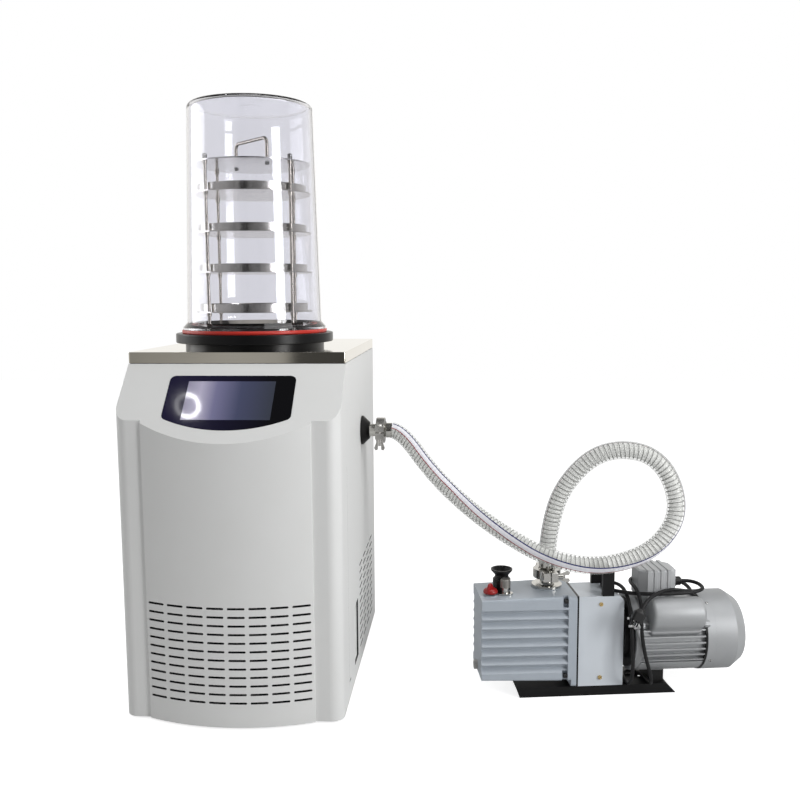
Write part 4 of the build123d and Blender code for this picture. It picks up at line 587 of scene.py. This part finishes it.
# ------------------------------------------------------------------ vacuum port
# Chromed tube through a black rubber cone in the side panel. Here and at the pump's intake
# a flanged hose tail meets its port on a centring ring, and a hinged cast clamp with a
# wing nut holds the two.
port_rubber = coated(
    "port_rubber", (0.004, 0.004, 0.004), (0.008, 0.008, 0.008), 0.45, 0.0009, 0.00004,
    Specular_IOR_Level=0.2,
)
dress(port_rubber, "port_bush")
chrome = drawn("chrome", (0.50, 0.49, 0.46), (0.66, 0.65, 0.62), 0.14, (1, 1, 1), 0.006)
dress(chrome, "port_tube", "hose_adaptors", "centring_rings")
cast_clamp = drawn("polished_casting", (0.42, 0.41, 0.39), (0.66, 0.65, 0.63), 0.24, (1, 1, 1), 0.004)
dress(cast_clamp, "flange_clamps", "port_wing_nut", "intake_wing_nut")

# ------------------------------------------------------------------ cooling plant
# Hermetic compressor, copper pipes, and a finned condenser behind the front slots with
# its fan. The condenser's fins are thin sheets pressed on its tubes; their black lacquer,
# like the condenser's, is in part painted shade behind the slots.


class Growth(Tree):
    """Geometry Nodes tree with named inputs, run once on a piece and then taken off."""

    def __init__(self, name, **sizes):
        self.tree = bpy.data.node_groups.new(name, "GeometryNodeTree")
        face = self.tree.interface
        face.new_socket("Geometry", in_out="INPUT", socket_type="NodeSocketGeometry")
        face.new_socket("Geometry", in_out="OUTPUT", socket_type="NodeSocketGeometry")
        for size in sizes:
            face.new_socket(size, in_out="INPUT", socket_type="NodeSocketFloat")
        self.sizes = sizes
        self.given = self.tree.nodes.new("NodeGroupInput")

    def size(self, name):
        return Value(self, self.given.outputs[name])

    def vector(self, x=0.0, y=0.0, z=0.0):
        return self.node("ShaderNodeCombineXYZ", {0: x, 1: y, 2: z})

    def grow(self, grown, points, name, body, slot, material):
        """Ends the tree in real geometry with the material, and runs it on the points: each
        has its place, and where the piece needs one, the way it faces."""
        real = self.node("GeometryNodeRealizeInstances", {0: grown})
        done = self.node("GeometryNodeSetMaterial", {"Geometry": real, "Material": material})
        self.node("NodeGroupOutput", {"Geometry": done})
        seed = bpy.data.meshes.new(name)
        seed.from_pydata([tuple(point[:3]) for point in points], [], [])
        if len(points[0]) > 3:
            aims = seed.attributes.new("aim", "FLOAT_VECTOR", "POINT")
            aims.data.foreach_set("vector", [part for point in points for part in point[3:6]])
        carrier = bpy.data.objects.new(name, seed)
        bpy.context.collection.objects.link(carrier)
        modifier = carrier.modifiers.new("growth", "NODES")
        modifier.node_group = self.tree
        for socket in self.tree.interface.items_tree:
            if socket.name in self.sizes:
                modifier[socket.identifier] = float(self.sizes[socket.name])
        bpy.context.view_layer.update()
        evaluated = carrier.evaluated_get(bpy.context.evaluated_depsgraph_get())
        mesh = bpy.data.meshes.new_from_object(evaluated)
        carrier.modifiers.remove(modifier)
        bpy.data.objects.remove(carrier)
        return show(mesh, name, body)


coil_low, coil_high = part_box("condenser")
fin_gap = 0.003
end_plates = 0.012
first_fin = (coil_low[0] + 0.0075, coil_low[1], (coil_low[2] + coil_high[2]) / 2)
fin_count = int((coil_high[0] - coil_low[0] - end_plates) / fin_gap)
fin_high = coil_high[2] - coil_low[2] - end_plates
fins = Growth("fins", Thick=0.0003, Proud=0.0012, High=fin_high, Gap=fin_gap)
sheet = fins.node(
    "GeometryNodeMeshCube",
    {"Size": fins.vector(fins.size("Thick"), fins.size("Proud") * 2, fins.size("High"))},
)
places = fins.node(
    "GeometryNodeMeshLine",
    {"Count": fin_count, "Offset": fins.vector(fins.size("Gap"))},
)
places = fins.node("GeometryNodeSetPosition", {"Geometry": places, "Offset": first_fin})
# Partly painted shade: the near black of the fins and the condenser also stands for the shade behind
# the front slots.
fin_metal = coated("black_fins", (0.010, 0.010, 0.011), (0.022, 0.022, 0.024), 0.5, 0.002, 0.00003)
fins.grow(
    fins.node("GeometryNodeInstanceOnPoints", {"Points": places, "Instance": sheet}),
    [(0, 0, 0)],
    "condenser_fins",
    "base",
    "fins",
    fin_metal,
)
dress(fin_metal, "condenser")
fan_black = coated("fan_black", (0.012, 0.012, 0.012), (0.03, 0.03, 0.03), 0.45, 0.002, 0.00002)
dress(fan_black, "condenser_fan", "fan_motor")
compressor_black = coated(
    "compressor_black", (0.010, 0.010, 0.011), (0.028, 0.028, 0.03), 0.32, 0.002, 0.00004
)
dress(compressor_black, "compressor")
copper = drawn("copper", (0.55, 0.22, 0.11), (0.78, 0.36, 0.20), 0.26, (1, 1, 1), 0.01)
dress(copper, "refrigerant_pipes")

# ------------------------------------------------------------------ rear fittings
# Moulded black mains inlet with its rocker switch, and a brass drain valve with a black
# lever for the melt water from the trap. Plug and gland are of the same black moulding.
moulded_black = coated(
    "moulded_black", (0.005, 0.005, 0.0055), (0.010, 0.010, 0.0105), 0.36, 0.0009, 0.00003,
    Specular_IOR_Level=0.3,
)
dress(moulded_black, "power_inlet", "power_rocker", "power_plug", "cable_gland", "drain_lever")
brass = drawn("brass", (0.56, 0.40, 0.16), (0.76, 0.58, 0.28), 0.26, (1, 1, 1), 0.006)
dress(brass, "drain_valve")

# ------------------------------------------------------------------ pump rails and block
# Folded black steel rails carry the pump block with its ribbed oil box, castings in
# lavender-grey paint, and the black coupling housing. A light grey sheet cover, held by
# brass screws, wraps the housing; where it meets the block, a black strip stands for a
# gasket and for painted shade in the gap.
black_steel = coated(
    "black_steel", (0.004, 0.004, 0.0045), (0.009, 0.009, 0.0095), 0.42, 0.0012, 0.00003,
    Specular_IOR_Level=0.25,
)
dress(black_steel, "pump_rails", "carry_handle", "coupling_housing")


def along_pump(finish):
    """How far along the pump's rails the point is, in metres."""
    across, back = finish.along(0) - pump_at.x, finish.along(1) - pump_at.y
    return across * cos(pump_turn) + back * sin(pump_turn)


# The box's screws are black, and the drain plug at its free end is grey metal.
plug_end = -0.06
fasteners = Finish("box_fasteners")
plug = along_pump(fasteners) < plug_end
dress(
    fasteners.surface(
        Base_Color=fasteners.blend(plug, (0.006, 0.006, 0.0065), (0.50, 0.49, 0.47)),
        Metallic=plug * 0.35,
        Roughness=0.30 + fasteners.noise(0.004) * 0.14,
    ),
    "oil_box_screws",
)


def cast(name, dark, light, rough, depth, **more):
    """Painted sand casting: grainy skin, soft waves, and edges rounded by the mould."""
    finish = Finish(name)
    skin, waves = finish.noise(0.0013, detail=3.0), finish.noise(0.025, detail=2.0)
    edges = finish.node("ShaderNodeBevel", {"Radius": 0.0012}, samples=4)
    return finish.surface(
        Base_Color=finish.blend(waves * 0.6 + skin * 0.4, dark, light),
        Roughness=rough + (waves - 0.5) * 0.14,
        Normal=finish.relief(skin, depth, finish.relief(waves, 0.0002, edges)),
        **more,
    )


lavender = cast("lavender_paint", (0.36, 0.40, 0.45), (0.44, 0.485, 0.535), 0.36, 0.00005)
dress(lavender, "oil_box", "pump_block")
grey_sheet = coated("grey_sheet", (0.59, 0.63, 0.675), (0.65, 0.69, 0.735), 0.32, 0.0012, 0.00001)
dress(grey_sheet, "housing_cover")
dress(brass, "cover_screws")


def finished(form):
    """Mesh of a closed form: faces turned outward and smooth, with its real edges sharp."""
    bmesh.ops.remove_doubles(form, verts=form.verts[:], dist=1e-6)
    bmesh.ops.recalc_face_normals(form, faces=form.faces[:])
    mesh = bpy.data.meshes.new("form")
    form.to_mesh(mesh)
    form.free()
    mesh.shade_smooth()
    mesh.set_sharp_from_angle(angle=radians(32))
    return mesh


def skinned(form, rows, ring=False):
    """Adds the skin over rows of points; its ends meet in a ring or are closed off flat."""
    grid = [[form.verts.new(point) for point in row] for row in rows]
    for row in range(0 if ring else 1, len(grid)):
        for index in range(len(grid[0])):
            near, far = grid[row - 1], grid[row]
            form.faces.new((near[index - 1], near[index], far[index], far[index - 1]))
    if not ring:
        form.faces.new(grid[0])
        form.faces.new(grid[-1])


# Painted shade in part: this black strip between cover and block stands for a gasket and for the shade
# in the gap.
trim_shade_from, trim_shade_to = 106.8, 111.4
trim_shade = bmesh.new()
trim_shade_line = [(-0.9, 19.5), (-0.9, 195.9), (84.9, 195.9), (84.9, 19.5)]
trim_shade_line += [(83.4, 19.5), (83.4, 194.4), (0.6, 194.4), (0.6, 19.5)]
skinned(trim_shade, [[on_pump(along, back, up) for back, up in trim_shade_line] for along in (trim_shade_from, trim_shade_to)])
show(finished(trim_shade), "cover_trim_shade", "base", moulded_black)

# ------------------------------------------------------------------ oil box fittings
# Chromed intake port, red plastic filler cap, black exhaust port with an open mouth and
# the gas ballast valve's plated knob.


def lathed(form, outline, origin, axis, sides=64):
    """Adds a turned form: a closed outline of (along, radius) in millimetres."""
    out = axis.orthogonal().normalized()
    over = axis.cross(out)
    ways = [out * cos(2 * pi * i / sides) + over * sin(2 * pi * i / sides) for i in range(sides)]
    skinned(form, [[origin + (axis * s + way * r) / 1000 for way in ways] for s, r in outline], True)


red_plastic = coated("red_plastic", (0.26, 0.006, 0.007), (0.33, 0.010, 0.010), 0.34, 0.001, 0.00002)
cap = bmesh.new()
cap_foot = on_pump(-54, 20, 0)
up = Vector((0, 0, 1))
cap_outline = [(201.4, 0), (201.4, 13.2), (203.0, 13.8), (205.4, 13.6), (208.2, 11.8), (210.2, 8.6)]
lathed(cap, [*cap_outline, (211.0, 0)], cap_foot, up)
# A finger grip stands across the cap, highest near its middle and falling to both ends.
grip_turn, grip_reach = radians(62), 0.0122
grip_foot, grip_top, grip_fall = 206.0, 219.5, 12.5
grip_way = Vector((cos(grip_turn), sin(grip_turn), 0))
grip_side = up.cross(grip_way)
grip = []
for station in range(13):
    span = -1 + station / 6
    crest = grip_top - grip_fall * max((abs(span + 0.12) - 0.30) / 0.62, 0)
    middle = cap_foot + grip_way * span * grip_reach
    half = 0.0036 - 0.0006 * abs(span)
    shape = [(-1.0, grip_foot), (-0.8, crest - 1.2), (-0.5, crest)]
    shape += [(-place, height) for place, height in reversed(shape)]
    grip.append([middle + grip_side * place * half + up * height / 1000 for place, height in shape])
skinned(cap, grip)
cap_piece = show(finished(cap), "red_filler_cap", "filler_cap", red_plastic)
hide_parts("filler_cap")
dress(chrome, "intake_port")
dress(moulded_black, "exhaust_port")
knurled = drawn("brushed_grey", (0.22, 0.21, 0.20), (0.36, 0.35, 0.33), 0.55, (1, 1, 0.1), 0.0012)
dress(knurled, "ballast_knob")

# ------------------------------------------------------------------ motor
# Finned aluminium stator housing in silver paint between two cast shields, silver at the
# drive end and near black at the fan's as painted shade of the gap before the cowl, with
# a pressed steel cowl over the fan, a capacitor under its own cover, and a grey terminal box.
flake = 0.35  # how metallic the silver paint is
silver = cast("silver_paint", (0.33, 0.34, 0.35), (0.42, 0.43, 0.44), 0.50, 0.00003, Metallic=flake)
dress(silver, "fan_cowl", "capacitor_cover")
# Painted shade: below feet_top, the motor's feet under its round body are coloured near black.
feet_top = 0.0425
finned = Finish("silver_fins")
spray, feet_shade = finned.noise(0.0013, detail=3.0), finned.along(2) < feet_top
rounded = finned.node("ShaderNodeBevel", {"Radius": 0.0012}, samples=4)
spray_colour = finned.blend(spray, (0.36, 0.37, 0.38), (0.45, 0.46, 0.47))
dress(
    finned.surface(
        Base_Color=finned.blend(feet_shade, spray_colour, (0.008, 0.008, 0.008)),
        Metallic=flake,
        Roughness=0.36 + spray * 0.10,
        Normal=finned.relief(spray, 0.00003, rounded),
    ),
    "motor_body",
)
dress(moulded_black, "motor_fan")
drive_half = 0.28
shields = Finish("shield_paint")
# Painted shade: past drive_half, the fan-end shield is coloured near black for the shaded gap before
# the cowl.
spray, drive_end = shields.noise(0.0013, detail=3.0), along_pump(shields) < drive_half
spray_colour = shields.blend(spray, (0.33, 0.34, 0.35), (0.42, 0.43, 0.44))
dress(
    shields.surface(
        Base_Color=shields.blend(drive_end, (0.006, 0.006, 0.0065), spray_colour),
        Metallic=drive_end * flake,
        Roughness=0.40 + spray * 0.12,
        Normal=shields.relief(spray, 0.00003),
    ),
    "end_shields",
)

shaft_back, shaft_high = 42, 110
shaft_foot = on_pump(0, shaft_back, shaft_high)
shaft_way = Vector((cos(pump_turn), sin(pump_turn), 0))
# The cowl's rim reaches forward over the fan-end shield. In front of it a black ring on the
# shield stands for a seal and for painted shade in the gap there.
lip = bmesh.new()
lathed(lip, [(349.8, 75.5), (366.5, 75.5), (366.5, 74.2), (349.8, 74.2)], shaft_foot, shaft_way, 96)
show(finished(lip), "cowl_lip", "base", silver)
# Painted shade in part: this black ring fills the gap between body and cowl.
seal_and_shade = bmesh.new()
lathed(seal_and_shade, [(346.0, 74.9), (349.8, 74.9), (349.8, 70.0), (346.0, 70.0)], shaft_foot, shaft_way, 96)
show(finished(seal_and_shade), "cowl_seal_and_shade", "base", moulded_black)


def round_shaft(angle, out, over, along):
    """Point beside the motor: out from the shaft line at the angle, then square to that."""
    back, high = cos(angle) * out - sin(angle) * over, sin(angle) * out + cos(angle) * over
    return on_pump(along, shaft_back + back, shaft_high + high)


# The capacitor's hood is a half round on straight sides, with both of its ends rounded off.
hood_angle = radians(138.5)
hood_out, hood_r = 83, 30
bends = 24
hood_outline = [(58, 33.2), (67.4, 33.2), (68.6, 32.6), (69.4, 31.0), (71.0, hood_r)]
hood_outline += [
    (hood_out + hood_r * sin(pi * bend / bends), hood_r * cos(pi * bend / bends))
    for bend in range(bends + 1)
]
hood_outline += [(71.0, -hood_r), (58, -hood_r)]
hood_insets = [(240, 5.5), (240.7, 3.4), (242.2, 1.6), (244.4, 0.4), (247.0, 0)]
hood_insets += [(332.0, 0), (335.0, 0.6), (338.0, 2.3), (340.1, 5.0), (341, 8)]
hood = bmesh.new()
hood_rows = []
for along, inset in hood_insets:
    hoop = []
    for out, over in hood_outline:
        beyond = max(out - hood_out, 0)
        reach = max((beyond**2 + over**2) ** 0.5, 1e-6)
        kept = max(reach - inset, 0) / reach
        hoop.append(round_shaft(hood_angle, min(out, hood_out) + beyond * kept, over * kept, along))
    hood_rows.append(hoop)
skinned(hood, hood_rows)
hood_piece = show(finished(hood), "capacitor_hood", "base", silver)
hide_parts("capacitor_cover")

# Cast ears on the shields take the motor's tie bolts; at the drive end a bolt's end, its
# nut and its washer show on each.
ears = bmesh.new()
bolts = bmesh.new()
ear_outline = ((60, -6), (60, 6), (87, 6), (90, 3), (90, -3), (87, -6))
ear_thick = 10
ear_spots = ((153.4, 82.5, 216, True), (143.4, 82.2, 216, True), (153.4, 82.5, 340, False))
bolt_parts = ((-19, -2, 2.6, 20), (-10, -3, 6.2, 6), (-2.6, -0.4, 7.4, 24))
for degrees, out, face, bolted in ear_spots:
    angle = radians(degrees)
    ends = (face, face + ear_thick)
    rows = [[round_shaft(angle, place, over, along) for place, over in ear_outline] for along in ends]
    skinned(ears, rows)
    for first, last, radius, sides in bolt_parts if bolted else ():
        outline = [(first, 0), (first, radius), (last, radius), (last, 0)]
        lathed(bolts, outline, round_shaft(angle, out, 0, face), shaft_way, sides)
show(finished(ears), "shield_ears", "base", silver)
bolt_steel = drawn("bolt_steel", (0.42, 0.42, 0.42), (0.62, 0.62, 0.62), 0.36, (1, 1, 1), 0.003)
show(finished(bolts), "tie_bolts", "base", bolt_steel)
dress(bolt_steel, "pump_rotor", "motor_rotor")
dress(cast("box_grey", (0.40, 0.41, 0.42), (0.48, 0.49, 0.50), 0.38, 0.00003), "terminal_box")

# Four cross-head screws hold the cowl; each is a flattened dome with two crossed slots cut in.
head_r, head_rise = 0.0032, 0.0018
screws = Growth("screws", Radius=head_r, Rise=head_rise)
head = screws.node(
    "GeometryNodeMeshUVSphere", {"Segments": 20, "Rings": 10, "Radius": screws.size("Radius")}
)
head = screws.node(
    "GeometryNodeTransform",
    {"Geometry": head, "Scale": screws.vector(1.0, 1.0, screws.size("Rise") * (1 / head_r))},
)
slot = screws.node("GeometryNodeMeshCube", {"Size": screws.vector(0.0044, 0.0007, head_rise)})
cross = screws.node("GeometryNodeTransform", {"Geometry": slot, "Rotation": (0, 0, pi / 2)})
for bar in (slot, cross):
    bar = screws.node("GeometryNodeTransform", {"Geometry": bar, "Translation": (0, 0, head_rise)})
    sockets = {"Mesh 1": head, "Mesh 2": bar}
    head = screws.node("GeometryNodeMeshBoolean", sockets, operation="DIFFERENCE")
aim = screws.node("GeometryNodeInputNamedAttribute", {"Name": "aim"}, data_type="FLOAT_VECTOR")
facing_out = screws.node("FunctionNodeAlignRotationToVector", {"Vector": aim}, axis="Z")
points = Value(screws, screws.given.outputs["Geometry"])
placed = screws.node(
    "GeometryNodeInstanceOnPoints", {"Points": points, "Instance": head, "Rotation": facing_out}
)
screw_ring, cowl_r = 359, 0.0755
across_pump = Vector((-sin(pump_turn), cos(pump_turn), 0))
spots = []
for degrees in (31, 121, 211, 301):
    out = across_pump * cos(radians(degrees)) + up * sin(radians(degrees))
    spots.append((*(on_pump(screw_ring, shaft_back, shaft_high) + out * cowl_r), *out))
screw_steel = drawn("screw_steel", (0.40, 0.40, 0.40), (0.60, 0.60, 0.59), 0.25, (1, 1, 1), 0.002)
screws.grow(placed, spots, "cowl_screws", "base", "steel", screw_steel)

# ------------------------------------------------------------------ floor, light and background
# White paper under three soft boxes, on the right, on the left and overhead, with a small
# ring lamp for the screen. The surround is white; what mirrors it sees the dimmer room.
floor_half = 6
floor = bmesh.new()
bmesh.ops.create_grid(floor, x_segments=2, y_segments=2, size=floor_half)
floor_mesh = bpy.data.meshes.new("floor")
floor.to_mesh(floor_mesh)
floor.free()
ground = bpy.data.objects.new("floor", floor_mesh)
bpy.context.collection.objects.link(ground)
paper = Finish("floor_paper")
kinds = ("Is Camera Ray", "Is Transmission Ray")
straight, through_glass = (paper.node("ShaderNodeLightPath", output=kind) for kind in kinds)
floor_mesh.materials.append(
    paper.surface(
        Base_Color=(0.62, 0.62, 0.62, 1),
        Roughness=0.9,
        Specular_IOR_Level=0.0,
        Emission_Color=paper.blend(straight.most(through_glass), (0, 0, 0), (1, 1, 1)),
        Emission_Strength=0.82,
    )
)


def soft_box(name, place, target, width, height, power):
    """Rectangular area light that faces its target."""
    data = bpy.data.lights.new(name, "AREA")
    data.shape = "RECTANGLE"
    data.size, data.size_y, data.energy = width, height, power
    light = bpy.data.objects.new(name, data)
    light.location = place
    light.rotation_euler = (Vector(target) - Vector(place)).to_track_quat("-Z", "Y").to_euler()
    bpy.context.collection.objects.link(light)


soft_box("right_box", (1.83, -1.42, 1.05), (-0.375, -0.05, 0.93), 0.70, 1.15, 28)
soft_box("left_box", (-1.877, 0.082, 1.04), (-0.375, -0.05, 1.00), 1.12, 0.80, 9)
soft_box("top_box", (0.95, -0.5, 2.6), (0.1, 0.0, 0.4), 1.8, 1.6, 25)

hub = Vector((-1.088, -0.609, 2.588))
lamp_r, lamp_hole = 0.053, 0.74
lamp = bmesh.new()
bmesh.ops.create_circle(lamp, segments=48, radius=lamp_r, matrix=Matrix.Translation(hub))
for corner in bmesh.ops.extrude_edge_only(lamp, edges=lamp.edges[:])["geom"]:
    if isinstance(corner, bmesh.types.BMVert):
        corner.co = hub + (corner.co - hub) * lamp_hole
lamp_mesh = bpy.data.meshes.new("ring_light")
lamp.to_mesh(lamp_mesh)
lamp.free()
glow = Finish("ring_glow")
glow.node("ShaderNodeOutputMaterial", {"Surface": glow.node("ShaderNodeEmission", {"Strength": 26.0})})
lamp_mesh.materials.append(glow.material)
ring_light = bpy.data.objects.new("ring_light", lamp_mesh)
bpy.context.collection.objects.link(ring_light)

world = bpy.data.worlds.new("studio")
bpy.context.scene.world = world
world.use_nodes = True
sky = Tree()
sky.tree = world.node_tree
sky.tree.nodes.clear()
scattered = sky.node("ShaderNodeLightPath", output="Diffuse Depth") > 0.5
mirrored = sky.node("ShaderNodeLightPath", output="Glossy Depth") > 0.5
looking = sky.node("ShaderNodeTexCoord", output="Generated")
sky_x, sky_y, sky_z = (
    sky.node("ShaderNodeSeparateXYZ", {0: looking}, output=axis) for axis in range(3)
)


def greys(value, *stops):
    """Grey levels along a value from -1 to 1."""
    ramp = [(place * 0.5 + 0.5, (grey, grey * 0.985, grey * 0.95)) for place, grey in stops]
    return sky.node("ShaderNodeValToRGB", {0: value * 0.5 + 0.5}, stops=ramp)


# What a mirror sees: a wall with a window behind the camera, brighter walls beside and
# behind the object, and a dark ceiling. Scattered light comes from an even grey.
window_side = ((-1, 0.7), (-0.6, 0.5), (-0.36, 0.30), (-0.26, 0.42), (-0.197, 0.40), (-0.190, 0.070))
far_side = ((0.06, 0.05), (0.10, 0.22), (0.45, 0.25), (0.8, 0.6))
behind_camera = greys(sky_x, *window_side, *far_side)
beside = greys(sky_y, (-0.6, 0.0), (0.1, 0.45), (0.6, 0.95), (1, 1.0))
rear = sky.node("ShaderNodeMapRange", {"Value": sky_y, "From Min": -0.5, "From Max": 0.1})
lid = sky.node("ShaderNodeMapRange", {"Value": sky_z, "From Min": 0.4, "From Max": 0.9})
white = (1, 1, 1)
room = sky.blend(rear, behind_camera, beside)
room = sky.blend(lid, room, (0.12, 0.12, 0.12))
colour = sky.blend(mirrored, white, room)
colour = sky.blend(scattered, colour, (0.36, 0.36, 0.36))
sky.node("ShaderNodeOutputWorld", {"Surface": sky.node("ShaderNodeBackground", {"Color": colour})})
bpy.context.scene.view_settings.view_transform = "Standard"
